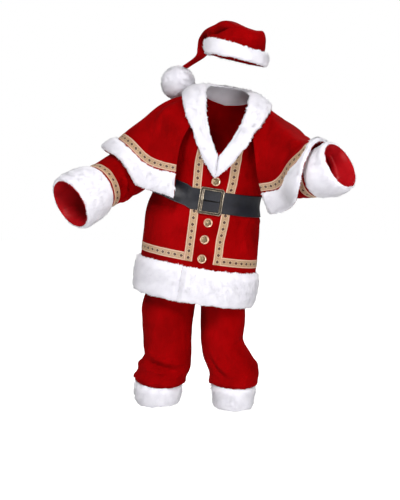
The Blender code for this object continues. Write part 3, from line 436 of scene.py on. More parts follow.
# ---- meshes from arrays
def make_mesh(name, verts, tris, quads, material, uv=None, hard=None, soft=None):
    """One object from arrays. uv is one pair per vertex; soft gives each vertex its shading normal."""
    mesh = bpy.data.meshes.new(name)
    tris, quads = np.asarray(tris, int).reshape(-1, 3), np.asarray(quads, int).reshape(-1, 4)
    mesh.from_pydata(np.asarray(verts).tolist(), [], tris.tolist() + quads.tolist())
    mesh.validate()
    mesh.shade_smooth()
    if uv is not None:
        corners = np.concatenate([tris.ravel(), quads.ravel()])
        mesh.uv_layers.new(name="UVMap").data.foreach_set("uv", uv[corners].ravel())
    if hard is not None:
        mesh.set_sharp_from_angle(angle=radians(hard))
    if soft is not None:
        mesh.normals_split_custom_set_from_vertices(np.asarray(soft, float))
    mesh.materials.append(material)
    obj = bpy.data.objects.new(name, mesh)
    bpy.context.scene.collection.objects.link(obj)
    return obj


def rows_of(p, wrap_u=False):
    """Point normals of a grid of points."""
    du = np.roll(p, -1, 0) - np.roll(p, 1, 0) if wrap_u else np.gradient(p, axis=0)
    return unit(np.cross(du, np.gradient(p, axis=1)))


def closed_normals(p):
    """The same where the last row of points repeats the first."""
    n = rows_of(p[:-1], wrap_u=True)
    return np.concatenate([n, n[:1]])


def from_ends(count):
    """How many places lie between each one and the nearer end of a row."""
    return np.minimum(np.arange(count), np.arange(count)[::-1])


def blunt(count):
    """A fur band's share of its height along it: half at both ends."""
    return np.minimum(1, 0.5 + 0.5 * from_ends(count) / 3.0)


def over_band(count, start=0.10):
    """Places across a fur band, 0..1, close together at its edges."""
    return np.concatenate([[0, 0.02, 0.05], np.linspace(start, 1 - start, count), [0.95, 0.98, 1.0]])


def inside_cells(arr, i, j, f, g):
    """Values at the shares f and g across the cells i, j of a grid."""
    return (arr[i, j] * (1 - f) * (1 - g) + arr[i + 1, j] * f * (1 - g)
            + arr[i, j + 1] * (1 - f) * g + arr[i + 1, j + 1] * f * g)


def shell(top, under, wrap_u=False, wrap_v=False):
    """Closed body between two grids of points: vertices, quads."""
    nu, nv = top.shape[:2]
    far = nu * nv
    i = np.arange(nu if wrap_u else nu - 1)
    j = np.arange(nv if wrap_v else nv - 1)
    ii, jj = np.meshgrid(i, j, indexing="ij")
    at = lambda a, b, k=0: ((a % nu) * nv + (b % nv) + k * far).ravel()
    quads = [np.stack([at(ii, jj), at(ii + 1, jj), at(ii + 1, jj + 1), at(ii, jj + 1)], -1),
             np.stack([at(ii, jj, 1), at(ii, jj + 1, 1), at(ii + 1, jj + 1, 1), at(ii + 1, jj, 1)], -1)]
    if not wrap_v:
        z, e = np.zeros_like(i), np.full_like(i, nv - 1)
        quads.append(np.stack([at(i, z), at(i, z, 1), at(i + 1, z, 1), at(i + 1, z)], -1))
        quads.append(np.stack([at(i, e), at(i + 1, e), at(i + 1, e, 1), at(i, e, 1)], -1))
    if not wrap_u:
        z, e = np.zeros_like(j), np.full_like(j, nu - 1)
        quads.append(np.stack([at(z, j), at(z, j + 1), at(z, j + 1, 1), at(z, j, 1)], -1))
        quads.append(np.stack([at(e, j), at(e, j, 1), at(e, j + 1, 1), at(e, j + 1)], -1))
    return np.concatenate([top.reshape(-1, 3), under.reshape(-1, 3)]), np.concatenate(quads)


def solid(name, top, under, mat, hard=50, uv=None, **wraps):
    """An object: the closed body between two grids of points."""
    verts, quads = shell(top, under, **wraps)
    return make_mesh(name, verts, [], quads, mat, uv=uv, hard=hard)


def arc(p, axis):
    """Length along a grid's axis, in metres, from its start."""
    d = np.linalg.norm(np.diff(p, axis=axis), axis=-1)
    pad = [(0, 0), (0, 0)]
    pad[axis] = (1, 0)
    return np.pad(np.cumsum(d, axis=axis), pad)


def hollows(p, lines):
    """Heights at the points p of soft ridges (+) and troughs (-): rows of height, half width and points."""
    out = np.zeros(p.shape[:-1])
    for height, width, pts in lines:
        path = curve(np.linspace(0, 1, 15), np.linspace(0, 1, len(pts)), pts)
        best = np.full(out.shape, 1e9)
        where = np.zeros(out.shape)
        for k in range(len(path) - 1):
            a, ab = path[k], path[k + 1] - path[k]
            t = np.clip(((p - a) @ ab) / max(ab @ ab, 1e-12), 0, 1)
            d = np.linalg.norm(p - a - t[..., None] * ab, axis=-1)
            near = d < best
            best = np.where(near, d, best)
            where = np.where(near, (k + t) / (len(path) - 1), where)
        taper = ease(where, 0.0, 0.35) * ease(1 - where, 0.0, 0.35)
        out += height * np.exp(-(best / width) ** 2) * (0.15 + 0.85 * taper)
    return out


def sway(p, size, seed=0.0):
    """Smooth wander between about -1 and 1, the same each run; size is its length in metres."""
    k = 2 * pi / size
    x, y, z = p[..., 0] * k, p[..., 1] * k, p[..., 2] * k
    return (np.sin(x + 0.7 * y + 1.3 + seed) * np.cos(0.8 * z - 0.5 * x + 2.1 * seed)
            + np.sin(1.3 * z + 0.9 * y + 0.4 * seed) * np.cos(1.1 * x - 0.6 * z + seed)) / 1.6


class Cloth:
    """A panel's fine points and normals over its own two parameters."""

    def __init__(self, us, vs, p, wrap=False):
        self.us, self.vs, self.p = np.asarray(us, float), np.asarray(vs, float), p
        self.n = closed_normals(p) if wrap else rows_of(p)

    def at(self, u, v):
        """Points and normals at parameters between the grid's."""
        u, v = pair(u, v)
        i = np.clip(np.searchsorted(self.us, u, side="right") - 1, 0, len(self.us) - 2)
        j = np.clip(np.searchsorted(self.vs, v, side="right") - 1, 0, len(self.vs) - 2)
        f = np.clip((u - self.us[i]) / (self.us[i + 1] - self.us[i]), 0, 1)[..., None]
        g = np.clip((v - self.vs[j]) / (self.vs[j + 1] - self.vs[j]), 0, 1)[..., None]
        return inside_cells(self.p, i, j, f, g), unit(inside_cells(self.n, i, j, f, g))


def grid(us, vs):
    return np.meshgrid(np.asarray(us, float), np.asarray(vs, float), indexing="ij")


def piece(obj, node=None):
    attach(obj, "root")
    if node:
        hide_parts(node)
    return obj


# ---- materials
def put(tree, value, socket):
    """A number, a colour or another node's output, on a socket."""
    if isinstance(value, bpy.types.NodeSocket):
        tree.links.new(value, socket)
    elif socket.type == "RGBA" and len(value) == 3:
        socket.default_value = (*value, 1.0)
    else:
        socket.default_value = value


def shader(name, colour, rough, metal=0.0, **sockets):
    m = bpy.data.materials.new(name)
    m.use_nodes = True
    m.diffuse_color = (*colour, 1.0)
    b = m.node_tree.nodes["Principled BSDF"]
    sockets.update(Base_Color=colour, Roughness=rough, Metallic=metal)
    for key, value in sockets.items():
        put(m.node_tree, value, b.inputs[key.replace("_", " ")])
    return m, m.node_tree, b


def add(tree, kind, **values):
    n = tree.nodes.new(kind)
    for key, value in values.items():
        if hasattr(n, key):
            setattr(n, key, value)
        else:
            put(tree, value, n.inputs[key.replace("_", " ")])
    return n


def metres(tree):
    return add(tree, "ShaderNodeTexCoord").outputs["Object"]


def noise(tree, scale, detail=3.0, rough=0.6, stretch=None):
    """Noise over the object's own metres."""
    place = metres(tree)
    if stretch is not None:
        place = add(tree, "ShaderNodeMapping", Scale=stretch, Vector=place).outputs["Vector"]
    return add(tree, "ShaderNodeTexNoise", Scale=scale, Detail=detail, Roughness=rough, Vector=place).outputs["Fac"]


def ramp(tree, fac, stops):
    """Colours, or greys where a stop has one number."""
    r = tree.nodes.new("ShaderNodeValToRGB")
    while len(r.color_ramp.elements) < len(stops):
        r.color_ramp.elements.new(0.5)
    for e, (pos, colour) in zip(r.color_ramp.elements, stops):
        e.position = pos
        e.color = (*colour, 1.0) if isinstance(colour, tuple) else (colour, colour, colour, 1.0)
    tree.links.new(fac, r.inputs["Fac"])
    return r.outputs["Color"]


def blend(tree, base, top, share, kind="MIX"):
    n = add(tree, "ShaderNodeMix", data_type="RGBA", blend_type=kind)
    for socket, value in ((n.inputs["Factor"], share), (n.inputs[6], base), (n.inputs[7], top)):
        put(tree, value, socket)
    return n.outputs[2]


def bump(tree, bsdf, height, strength, distance, before=None):
    b = add(tree, "ShaderNodeBump", Strength=strength, Distance=distance, Height=height)
    if before is not None:
        put(tree, before, b.inputs["Normal"])
    put(tree, b.outputs["Normal"], bsdf.inputs["Normal"])
    return b.outputs["Normal"]


def maths(tree, op, a, b):
    n = add(tree, "ShaderNodeMath", operation=op)
    put(tree, a, n.inputs[0])
    put(tree, b, n.inputs[1])
    return n.outputs[0]


def velvet_shader():
    m, t, b = shader("velvet_pile", (0.29, 0.0004, 0.002), 0.9, Sheen_Weight=0.15, Sheen_Roughness=0.28,
                     Sheen_Tint=(1.0, 0.03, 0.035), Specular_IOR_Level=0.02)
    col = ramp(t, noise(t, 8.0, 4.0, 0.55), [(0.28, (0.190, 0.0002, 0.0006)), (0.50, (0.268, 0.0003, 0.0010)),
                                             (0.74, (0.355, 0.0008, 0.0020))])
    streak = ramp(t, noise(t, 26.0, stretch=(1.0, 1.0, 0.28)), [(0.32, 0.93), (0.68, 1.05)])
    grain = ramp(t, noise(t, 700.0, 2.0, 0.7), [(0.30, 0.80), (0.70, 1.16)])
    for shade in (streak, grain):
        col = blend(t, col, shade, 1.0, "MULTIPLY")
    put(t, col, b.inputs["Base Color"])
    nap = bump(t, b, noise(t, 150.0, 3.0, 0.7, stretch=(1.0, 1.0, 0.4)), 0.22, 0.0006)
    bump(t, b, noise(t, 900.0, 2.0, 0.7), 0.30, 0.0004, nap)
    return m


def fur_shader():
    m, t, b = shader("plush_fur", (0.885, 0.872, 0.922), 0.95, Sheen_Weight=0.7, Sheen_Roughness=0.5,
                     Sheen_Tint=(1.0, 1.0, 1.0), Specular_IOR_Level=0.05)
    col = ramp(t, noise(t, 34.0), [(0.30, (0.83, 0.813, 0.88)), (0.60, (0.885, 0.87, 0.93)),
                                   (0.80, (0.92, 0.908, 0.95))])
    put(t, col, b.inputs["Base Color"])
    bump(t, b, noise(t, 420.0, 2.0, 0.7, stretch=(1.0, 1.0, 0.25)), 0.30, 0.0006)
    return m


def satin_shader():
    m, t, b = shader("satin_lining", (0.46, 0.004, 0.008), 0.30, Specular_IOR_Level=0.42)
    col = ramp(t, noise(t, 14.0, 2.0, 0.5), [(0.3, (0.34, 0.003, 0.006)), (0.7, (0.50, 0.006, 0.011))])
    put(t, col, b.inputs["Base Color"])
    bump(t, b, noise(t, 1400.0, 1.0, 0.5, stretch=(1.0, 0.4, 1.0)), 0.12, 0.0002)
    return m


def leather_shader():
    m, t, b = shader("belt_leather", (0.0075, 0.0075, 0.013), 0.40, Specular_IOR_Level=0.33)
    col = ramp(t, noise(t, 25.0, 4.0), [(0.3, (0.004, 0.004, 0.007)), (0.7, (0.010, 0.0105, 0.018))])
    put(t, col, b.inputs["Base Color"])
    put(t, ramp(t, noise(t, 60.0, 4.0), [(0.3, 0.34), (0.7, 0.52)]), b.inputs["Roughness"])
    grain = add(t, "ShaderNodeTexVoronoi", Scale=520.0, Vector=metres(t))
    bump(t, b, grain.outputs["Distance"], 0.30, 0.0004)
    return m


def metal_shader(name, colour, dark, rough, scale=120.0):
    m, t, b = shader(name, colour, rough, 1.0)
    tone = noise(t, scale, 4.0, 0.65)
    put(t, ramp(t, tone, [(0.36, dark), (0.62, colour)]), b.inputs["Base Color"])
    put(t, ramp(t, tone, [(0.3, rough + 0.2), (0.7, rough)]), b.inputs["Roughness"])
    bump(t, b, noise(t, 700.0, 2.0, 0.5), 0.15, 0.0002)
    return m


BRAID_STEP, BRAID_WIDE = 0.026, 0.033       # one repeat of the braid's pattern


def braid_shader():
    """Woven gold braid: lighter ribbed borders, and small dark diamonds along a golden middle."""
    m, t, b = shader("gold_braid", (0.52, 0.34, 0.20), 0.55, Sheen_Weight=0.1, Specular_IOR_Level=0.4)
    uv = add(t, "ShaderNodeUVMap", uv_map="UVMap").outputs["UV"]        # metres along, 0..1 across
    along, across = add(t, "ShaderNodeSeparateXYZ", Vector=uv).outputs[:2]

    def off_centre(value):
        return maths(t, "ABSOLUTE", maths(t, "SUBTRACT", value, 0.5), 0.0)

    def repeat(step):
        return off_centre(maths(t, "FRACT", maths(t, "DIVIDE", along, step), 0.0))

    mid = maths(t, "MULTIPLY", off_centre(across), BRAID_WIDE)
    gap = maths(t, "MULTIPLY", repeat(BRAID_STEP), BRAID_STEP)
    far = maths(t, "SUBTRACT", BRAID_STEP / 2, gap)

    def diamond(long, wide, near=gap):
        reach = maths(t, "ADD", maths(t, "DIVIDE", near, long), maths(t, "DIVIDE", mid, wide))
        return maths(t, "LESS_THAN", reach, 1.0)

    border = maths(t, "GREATER_THAN", mid, 0.0118)
    line = maths(t, "MULTIPLY", maths(t, "GREATER_THAN", mid, 0.0108), maths(t, "LESS_THAN", mid, 0.0122))
    dark = diamond(0.0078, 0.0070)
    col = ramp(t, noise(t, 200.0), [(0.3, (0.34, 0.200, 0.105)), (0.7, (0.50, 0.325, 0.19))])
    for colour, mask in (((0.63, 0.405, 0.285), border), ((0.36, 0.20, 0.10), line),
                         ((0.56, 0.38, 0.225), diamond(0.0104, 0.0098)), ((0.050, 0.016, 0.010), dark),
                         ((0.16, 0.030, 0.018), diamond(0.0020, 0.0018)),
                         ((0.26, 0.15, 0.07), diamond(0.0032, 0.0030, far))):
        col = blend(t, col, colour, mask)
    put(t, col, b.inputs["Base Color"])
    relief = maths(t, "SUBTRACT", maths(t, "MULTIPLY", border, 0.5), maths(t, "MULTIPLY", dark, 0.4))
    bump(t, b, maths(t, "ADD", maths(t, "MULTIPLY", repeat(0.0022), 0.6), relief), 0.5, 0.0006)
    return m


velvet, fur, satin, leather = velvet_shader(), fur_shader(), satin_shader(), leather_shader()
braid_mat = braid_shader()
brass = metal_shader("antique_brass", (0.46, 0.39, 0.30), (0.14, 0.11, 0.085), 0.30, 90.0)
# darker brass for the buckle's face: painted shade, so that its brass rims read as highlights
painted_dark_face = metal_shader("brass_face_painted_dark", (0.075, 0.062, 0.045), (0.025, 0.021, 0.018), 0.42)
# near-black metal for the prong, so that it hardly shows against the belt inside the buckle
prong_near_black_metal = metal_shader("prong_near_black", (0.020, 0.018, 0.017), (0.008, 0.008, 0.008), 0.45)
gilt = metal_shader("button_gilt", (0.78, 0.50, 0.36), (0.40, 0.25, 0.16), 0.34)
dull = metal_shader("button_hollow", (0.30, 0.22, 0.13), (0.10, 0.075, 0.045), 0.38, 160.0)

# the waistband stays as it is in the solids
waistband = frame["nodes"]["waistband"]
waistband.data.materials.clear()
waistband.data.materials.append(velvet)


SEAM_DIP, SEAM_ROUND = 0.0012, 0.0035       # along a seam the cloth's edge turns down


def cloth_piece(name, node, p, n, thick, mat, slot_name, wrap_u=False, seam_u=(0, 0), seam_v=(0, 0)):
    """A thin closed sheet below the points p."""
    dip = np.zeros(p.shape[:2])
    for axis, seams in ((0, seam_u), (1, seam_v)):
        run = arc(p, axis)
        total = run[-1:, :] if axis == 0 else run[:, -1:]
        if seams[0]:
            dip += SEAM_DIP * np.exp(-(run / SEAM_ROUND) ** 2)
        if seams[1]:
            dip += SEAM_DIP * np.exp(-((total - run) / SEAM_ROUND) ** 2)
    top = p - n * dip[..., None]
    return piece(solid(name, top, top - n * thick, mat, wrap_u=wrap_u), node)


def velvet_piece(node, p, n, thick=WALL, **seams):
    return cloth_piece(node + "_velvet", node, p, n, thick, velvet, "velvet", **seams)


def lift(p, n, table, ripple, size, seed=0.0):
    """The cloth's folds: the listed ones and a faint wander."""
    return p + n * (hollows(p, table) + ripple * sway(p, size, seed))[..., None]


# ---- fur: a plush body and closed tufts, in one mesh
ROOT = 0.0020        # how deep a tuft stands in the body
SPACING = 0.0048     # between two tufts
TUFT_R = 0.0023      # radius of a tuft at its root
TRIM = 0.0022        # the body ends this far below the pile's height


def tufts(p, n, lay, length, rng, stand=0.34):
    """Closed tapered tufts from the points p: vertices, triangles, quads, and the normal each is shaded by."""
    m = len(p)
    wild = rng.normal(size=(m, 3))
    d1 = unit(n * stand + lay * 0.80 + wild * 0.16)
    d2 = unit(n * (stand - 0.24) + lay * 0.95 + wild * 0.20)
    run = (length * rng.uniform(0.7, 1.25, m))[:, None]
    wide = (TUFT_R * rng.uniform(0.8, 1.25, m))[:, None]
    mid, side = p + d1 * run * 0.5, unit(np.cross(d1, rng.normal(size=(m, 3))))
    back = np.cross(d1, side)
    verts, soft = [], []
    for centre, size in ((p, 1.0), (mid, 0.85)):
        for a in (0.0, 2 * pi / 3, 4 * pi / 3):
            spoke = np.cos(a) * side + np.sin(a) * back
            verts.append(centre + wide * size * spoke)
            soft.append(unit(n + spoke * 0.16))
    verts.append(mid + d2 * run * 0.55)
    soft.append(unit(n + d2 * 0.1))
    k = np.arange(m)[:, None] * 7
    tris, quads = [k + np.array([[0, 2, 1]])], []
    for a, b in ((0, 1), (1, 2), (2, 0)):
        quads.append(k + np.array([[a, b, b + 3, a + 3]]))
        tris.append(k + np.array([[a + 3, b + 3, 6]]))
    return (np.stack(verts, 1).reshape(-1, 3), np.concatenate(tris), np.concatenate(quads),
            np.stack(soft, 1).reshape(-1, 3))


def scatter(p, rng):
    """Even places on a grid of points: cell numbers and the places inside the cells."""
    a = np.linalg.norm(np.cross(p[1:, :-1] - p[:-1, :-1], p[:-1, 1:] - p[:-1, :-1]), axis=-1)
    total = np.cumsum(a.ravel())
    count = int(total[-1] / SPACING**2)
    pick = (np.arange(count) + rng.uniform(0, 1, count)) * total[-1] / count
    cell = np.clip(np.searchsorted(total, pick), 0, a.size - 1)
    i, j = np.unravel_index(cell, a.shape)
    return i, j, rng.uniform(0, 1, count)[:, None], rng.uniform(0, 1, count)[:, None]


def along_surface(v, out):
    return unit(v - (v * out).sum(-1)[:, None] * out)


def wander3(p, seeds):
    return np.stack([sway(p, 0.06, k) for k in seeds], -1)


def fur_piece(name, node, p, n, q, seed, thick=FUR, ends=None, wrap=False, lay=1.0, long=0.014, under=UNDER_FUR,
              inside=None):
    """p and n have one row of points per place along the band, with one for each place q across it.
    ends: share of the height at each place along it; lay: 1 for pile brushed along q, -1 against it."""
    rng = np.random.default_rng(seed)
    across = unit(np.gradient(p, axis=1))
    edge = np.exp(-(q / 0.10) ** 2) - np.exp(-((1 - q) / 0.10) ** 2)
    wander = 0.0022 * sway(p, 0.10, seed + 11) + 0.0016 * sway(p, 0.037, seed + 12) - 0.0008
    p = p - across * (edge * wander)[..., None]
    tall = pile(q, thick)[None] * (np.ones(len(p)) if ends is None else ends)[:, None] - TRIM
    clump = 0.0008 * sway(p, 0.060, seed) + 0.0005 * sway(p, 0.026, seed + 3)
    tall = tall + clump * np.minimum(1, tall / thick)
    top = p + n * (under + np.maximum(tall, 0.002))[..., None]
    verts, quads = shell(top, p + n * under, wrap_u=wrap)
    tn = rows_of(top, wrap_u=wrap)
    grown = np.concatenate([top, top[:1]]) if wrap else top
    tn = np.concatenate([tn, tn[:1]]) if wrap else tn
    away = lay * (1 - 2 * ease(q if lay < 0 else 1 - q, 0.80, 0.97))
    flow = unit(np.gradient(grown, axis=1)) * away[None, :, None]
    size = 0.42 + 0.58 * np.sin(pi * np.clip(q, 0.03, 0.97)) ** 0.6
    i, j, f, g = scatter(grown, rng)
    root, out = inside_cells(grown, i, j, f, g), unit(inside_cells(tn, i, j, f, g))
    way = inside_cells(flow, i, j, f, g)
    turn = wander3(root, (seed + 5, seed + 7, seed + 9)) * 0.35
    tv, tt, tq, ts = tufts(root - out * ROOT, out, unit(way + turn), long * size[j], rng)
    if inside:          # shorter pile on the back of the band too, between these two places along it
        i, j, f, g = scatter(p[inside[0]:inside[1]], rng)
        back, out = (inside_cells(arr[inside[0]:inside[1]], i, j, f, g) for arr in (p, -n))
        out = unit(out)
        turn = wander3(back, (seed + 15, seed + 17, seed + 19))
        more = tufts(back - out * ROOT / 2, out, along_surface(turn, out), 0.0115, rng, stand=0.6)
        tt, tq = (np.concatenate([a, b + len(tv)]) for a, b in ((tt, more[1]), (tq, more[2])))
        tv, ts = np.concatenate([tv, more[0]]), np.concatenate([ts, more[3]])
    far = len(verts)
    obj = make_mesh(name, np.concatenate([verts, tv]), tt + far, np.concatenate([quads, tq + far]), fur,
                    soft=np.concatenate([np.zeros((far, 3)), ts]))
    piece(obj, node)


# ---- coat: local x of its upright lines at the hem braid, the belt and the underarm
LAP = np.array([-0.0680, -0.0765, -0.0860])       # the left front's edge
LAP_UNDER, LAP_DROP = 0.05, 0.022                 # how far the right front runs on, and where it starts to drop
BRAIDS = {"right": ([-0.0345, -0.0430, -0.0520], [-0.0675, -0.0760, -0.0855]),
          "left": ([0.0445, 0.0500, 0.0560], [0.0765, 0.0840, 0.0915])}
HEM_BRAID, HEM_FUR_TOP = (-0.602, -0.570), -0.625
BELT_Z, BELT_SPAN = -0.36, (-0.402, -0.318)


def upright(xs, v):
    """Angle of such a line on the coat."""
    z = coat_z(v)
    xc, a, _, _ = coat_rings(z)
    return np.degrees(np.arcsin((curve(z, [HEM_BRAID[0], BELT_Z, UNDER_Z], xs) - xc) / a))


def hole_dip(v):
    m = np.clip((v - 1) / ARM_M, 0, 1)
    return ARM_PHI * np.sin(np.arccos(1 - 2 * m))


ROWS = np.concatenate([np.linspace(0, 1, 72)[:-1], 1 + ARM_M * (1 - np.cos(np.linspace(0, pi, 32))) / 2,
                       np.linspace(1 + ARM_M, 2, 24)[1:]])


def left_c(phi, v):
    """Place 0..1 across the left front."""
    return (phi - upright(LAP, v)) / (90 - hole_dip(v) - upright(LAP, v))


def right_c(shift, z):
    """Place 2..3 across the right front of the point this far to the right of the lap's edge."""
    v = np.array(coat_v(z))
    lo, hi = 270 + hole_dip(v), 360 + upright(LAP + LAP_UNDER, v)
    return float(2 + (360 + upright(LAP - shift, v) - lo) / (hi - lo))


def fold_lines(fn, table):
    """The folds of a table in metres, with the points of their lines."""
    return [(row[0] * 0.001, row[1] * 0.001, fn(np.array(row[2::2], float), np.array(row[3::2], float)))
            for row in table]


# every table of folds: height and half width in mm, then the fold's line as pairs of its surface's own two places
COAT_FOLDS = [
    (4.2, 12, 346, 0.575, 340, 0.495, 330, 0.415), (-3.4, 13, 336, 0.548, 329, 0.475, 319, 0.415),
    (-4, 16, 300, 0.589, 297, 0.482, 296, 0.395), (-5, 9, 40, 0.676, 40, 0.609, 38, 0.528),
    (4.2, 7, 46, 0.515, 50, 0.455, 53, 0.395), (3.4, 11, 55, 0.689, 48, 0.602, 38, 0.482),
    (-4, 14, 72, 0.640, 70, 0.560, 66, 0.440), (-5, 9, 40, 1.385, 42, 1.224, 43, 1.077),
    (-5, 10, 42, 1.02, 43, 0.957, 46, 0.923), (3.8, 9, 27, 0.990, 34, 0.975, 40, 0.970),
    (-4.4, 9, 320, 1.157, 322, 1.023, 324, 0.963), (3.4, 10, 329, 1.010, 331, 0.960, 332, 0.916),
    (3, 6, 313, 0.662, 314, 0.609), (-3.2, 6, 322, 0.656, 322, 0.602), (3, 6, 330, 0.656, 331, 0.595),
    (-2.8, 6, 46, 0.676, 46, 0.615),
    # pushed out over the belt's lower edge, most of all on the right
    (9, 14, 288, 0.640, 305, 0.640, 325, 0.640), (4.8, 12, 52, 0.640, 75, 0.640, 95, 0.640),
    (4.5, 13, 120, 0.640, 180, 0.640, 240, 0.640), (4, 13, 110, 0.905, 180, 0.905, 250, 0.905),
    # the back: gathered by the belt, falling in soft folds
    (5, 20, 130, 0.62, 127, 0.50, 124, 0.36), (-4.6, 18, 146, 0.62, 145, 0.50, 143, 0.34),
    (4.2, 16, 163, 0.62, 163, 0.52, 162, 0.40), (-4.6, 18, 182, 0.63, 183, 0.50, 184, 0.34),
    (4.6, 18, 200, 0.62, 203, 0.50, 206, 0.36), (-4, 16, 217, 0.62, 220, 0.50, 224, 0.38),
    (4.8, 20, 236, 0.62, 240, 0.50, 244, 0.36), (-4, 14, 150, 0.91, 142, 1.05, 128, 1.20),
    (-4, 14, 210, 0.91, 218, 1.05, 232, 1.20), (3.4, 14, 168, 0.92, 163, 1.08, 152, 1.25),
    (3.4, 14, 192, 0.92, 197, 1.08, 208, 1.25)
]
COAT_LINES = fold_lines(coat, COAT_FOLDS)


def coat_grid(lo, hi, n):
    c, v = grid(np.linspace(0, 1, n), ROWS)
    phi = lo(v) * (1 - c) + hi(v) * c
    out = normals(coat, phi, np.clip(v, 0.002, 1.998), 0.5, 0.002)
    return phi, lift(coat(phi, v), out, COAT_LINES, 0.0009, 0.16)


COLUMNS = (46, 84, 54)          # of the left front, the back and the right front
_, p_l = coat_grid(lambda v: upright(LAP, v), lambda v: 90 - hole_dip(v), COLUMNS[0])
_, p_b = coat_grid(lambda v: 90 + hole_dip(v), lambda v: 270 - hole_dip(v), COLUMNS[1])
phi, p_r = coat_grid(lambda v: 270 + hole_dip(v), lambda v: 360 + upright(LAP + LAP_UNDER, v), COLUMNS[2])
ring = Cloth(np.concatenate([k + np.linspace(0, 1, count)[int(k > 0):] for k, count in enumerate(COLUMNS)]), ROWS,
             np.concatenate([p_l, p_b[1:], p_r[1:]]))
side_l, side_r = COLUMNS[0], COLUMNS[0] + COLUMNS[1] - 1
velvet_piece("coat_front_left", p_l, ring.n[:side_l], seam_u=(0, 1))
velvet_piece("coat_back", p_b, ring.n[side_l - 1:side_r], seam_u=(1, 1))
n_r = ring.n[side_r - 1:]
drop, under = upright(LAP - LAP_DROP, ROWS), upright(LAP - 0.004, ROWS)
down = ease(phi - 360, drop, under) * (WALL + SKIN + 0.0003)
velvet_piece("coat_front_right", p_r - n_r * down[..., None], n_r, seam_u=(1, 0))


# braids
ACROSS = np.linspace(0, 1, 9)       # the places across a braid
BRAID_END = 1.4925                  # the front ones end here, under the collar


def braid_piece(node, p, n):
    """p is a grid along the braid and across it. Its borders are raised."""
    rise = SKIN + BRAID * (0.75 + 0.45 * np.exp(-((np.abs(ACROSS - 0.5) - 0.42) / 0.07) ** 2))
    rise[0] = rise[-1] = SKIN + BRAID * 0.5
    run = arc(p[:, p.shape[1] // 2][:, None], 0)[:, 0]
    uv = np.stack(np.broadcast_arrays(run[:, None], ACROSS), -1).reshape(-1, 2)
    obj = solid(node + "_woven", p + n * rise[:, None], p + n * SKIN, braid_mat, uv=np.concatenate([uv, uv]))
    piece(obj, node)


v, q = grid(np.linspace(coat_v(HEM_BRAID[0]), BRAID_END, 150), ACROSS)
for word, (xin, xout) in BRAIDS.items():
    phi = between((upright(xin, v), upright(xout, v)), q)
    if word == "left":          # it isn't quite straight
        phi = phi + 0.5 * np.sin(9 * v + 1.2 * np.sin(14 * v))
    braid_piece("coat_braid_" + word, *ring.at(left_c(phi, v), v))
middle = sum(HEM_BRAID) / 2
v = coat_v(np.array(middle))
c0, c1 = float(left_c(upright(BRAIDS["left"][1], v), v)), right_c(0.0006, middle)
v, c = np.meshgrid(coat_v(between(HEM_BRAID, ACROSS)), np.linspace(c0, c1, 330))
braid_piece("coat_braid_hem", *ring.at(c, v))

# fur round the hem
q = over_band(14, 0.09)
c, v = grid(np.linspace(0.004, c1, 230), coat_v(between((HEM_Z, HEM_FUR_TOP), q)))
fur_piece("coat_hem_fur", "coat_fur_hem", *ring.at(c, v), q, ends=blunt(230), lay=-1.0, seed=11)

# ---- sleeves with braid, lining and fur cuff
SLEEVE_FOLDS = {
    -1: [(-19, 7.5, 96, 0.626, 72, 0.630, 50, 0.638, 30, 0.646),
         (-23, 8.5, 92, 0.580, 70, 0.588, 50, 0.586, 28, 0.580),
         (7, 6, 92, 0.604, 70, 0.610, 50, 0.613), (-10, 7, 110, 0.655, 92, 0.652, 78, 0.655),
         (-5.5, 9, 30, 0.50, 5, 0.54, 340, 0.53), (4.5, 9, 25, 0.55, 0, 0.59, 335, 0.58),
         (-5, 10, 320, 0.46, 290, 0.50, 262, 0.50), (4, 10, 318, 0.52, 290, 0.56, 262, 0.55),
         (-4.5, 10, 240, 0.42, 215, 0.47, 190, 0.50), (4, 10, 235, 0.48, 210, 0.53, 185, 0.56),
         (-4.5, 11, 40, 0.36, 20, 0.40, 355, 0.42), (-4, 10, 150, 0.57, 130, 0.60, 112, 0.60),
         (-4, 11, 200, 0.25, 240, 0.28, 280, 0.27)],
    1: [(-6.5, 8, 90, 0.50, 65, 0.55, 40, 0.56), (5, 8, 92, 0.55, 66, 0.59, 42, 0.60),
        (-5.5, 8, 100, 0.60, 75, 0.635, 50, 0.64), (-5.5, 10, 30, 0.46, 5, 0.50, 340, 0.49),
        (4.5, 10, 25, 0.52, 0, 0.56, 335, 0.55), (-5, 10, 320, 0.52, 290, 0.56, 262, 0.55),
        (4, 10, 315, 0.58, 290, 0.61, 265, 0.60), (-4.5, 10, 240, 0.42, 215, 0.46, 190, 0.49),
        (4, 10, 235, 0.48, 210, 0.52, 185, 0.55), (-4.5, 11, 160, 0.50, 135, 0.54, 115, 0.53),
        (3.8, 10, 155, 0.57, 132, 0.60, 112, 0.59), (-4, 11, 200, 0.25, 240, 0.28, 280, 0.27)]}
SIDES = {-1: "right", 1: "left"}
SLEEVE_BRAID, CUFF_FUR = (0.665, 0.705), (CUFF_T + 0.003, 1.0)


def below(a):
    """1 at the underside of a sleeve's ring, 0 on top."""
    return ((1 + np.cos(np.radians(a))) / 2) ** 1.5


def slim(side, a, t):
    """The sleeve's points; the left cuff's underside is drawn up."""
    p = sleeve(side, a, t)
    p = p + (0.015 * (side > 0) * below(a) * ease(t, 0.60, 0.80))[..., None] * unit(arm_line(side, t)[0] - p)
    p[-1] = p[0]
    return p


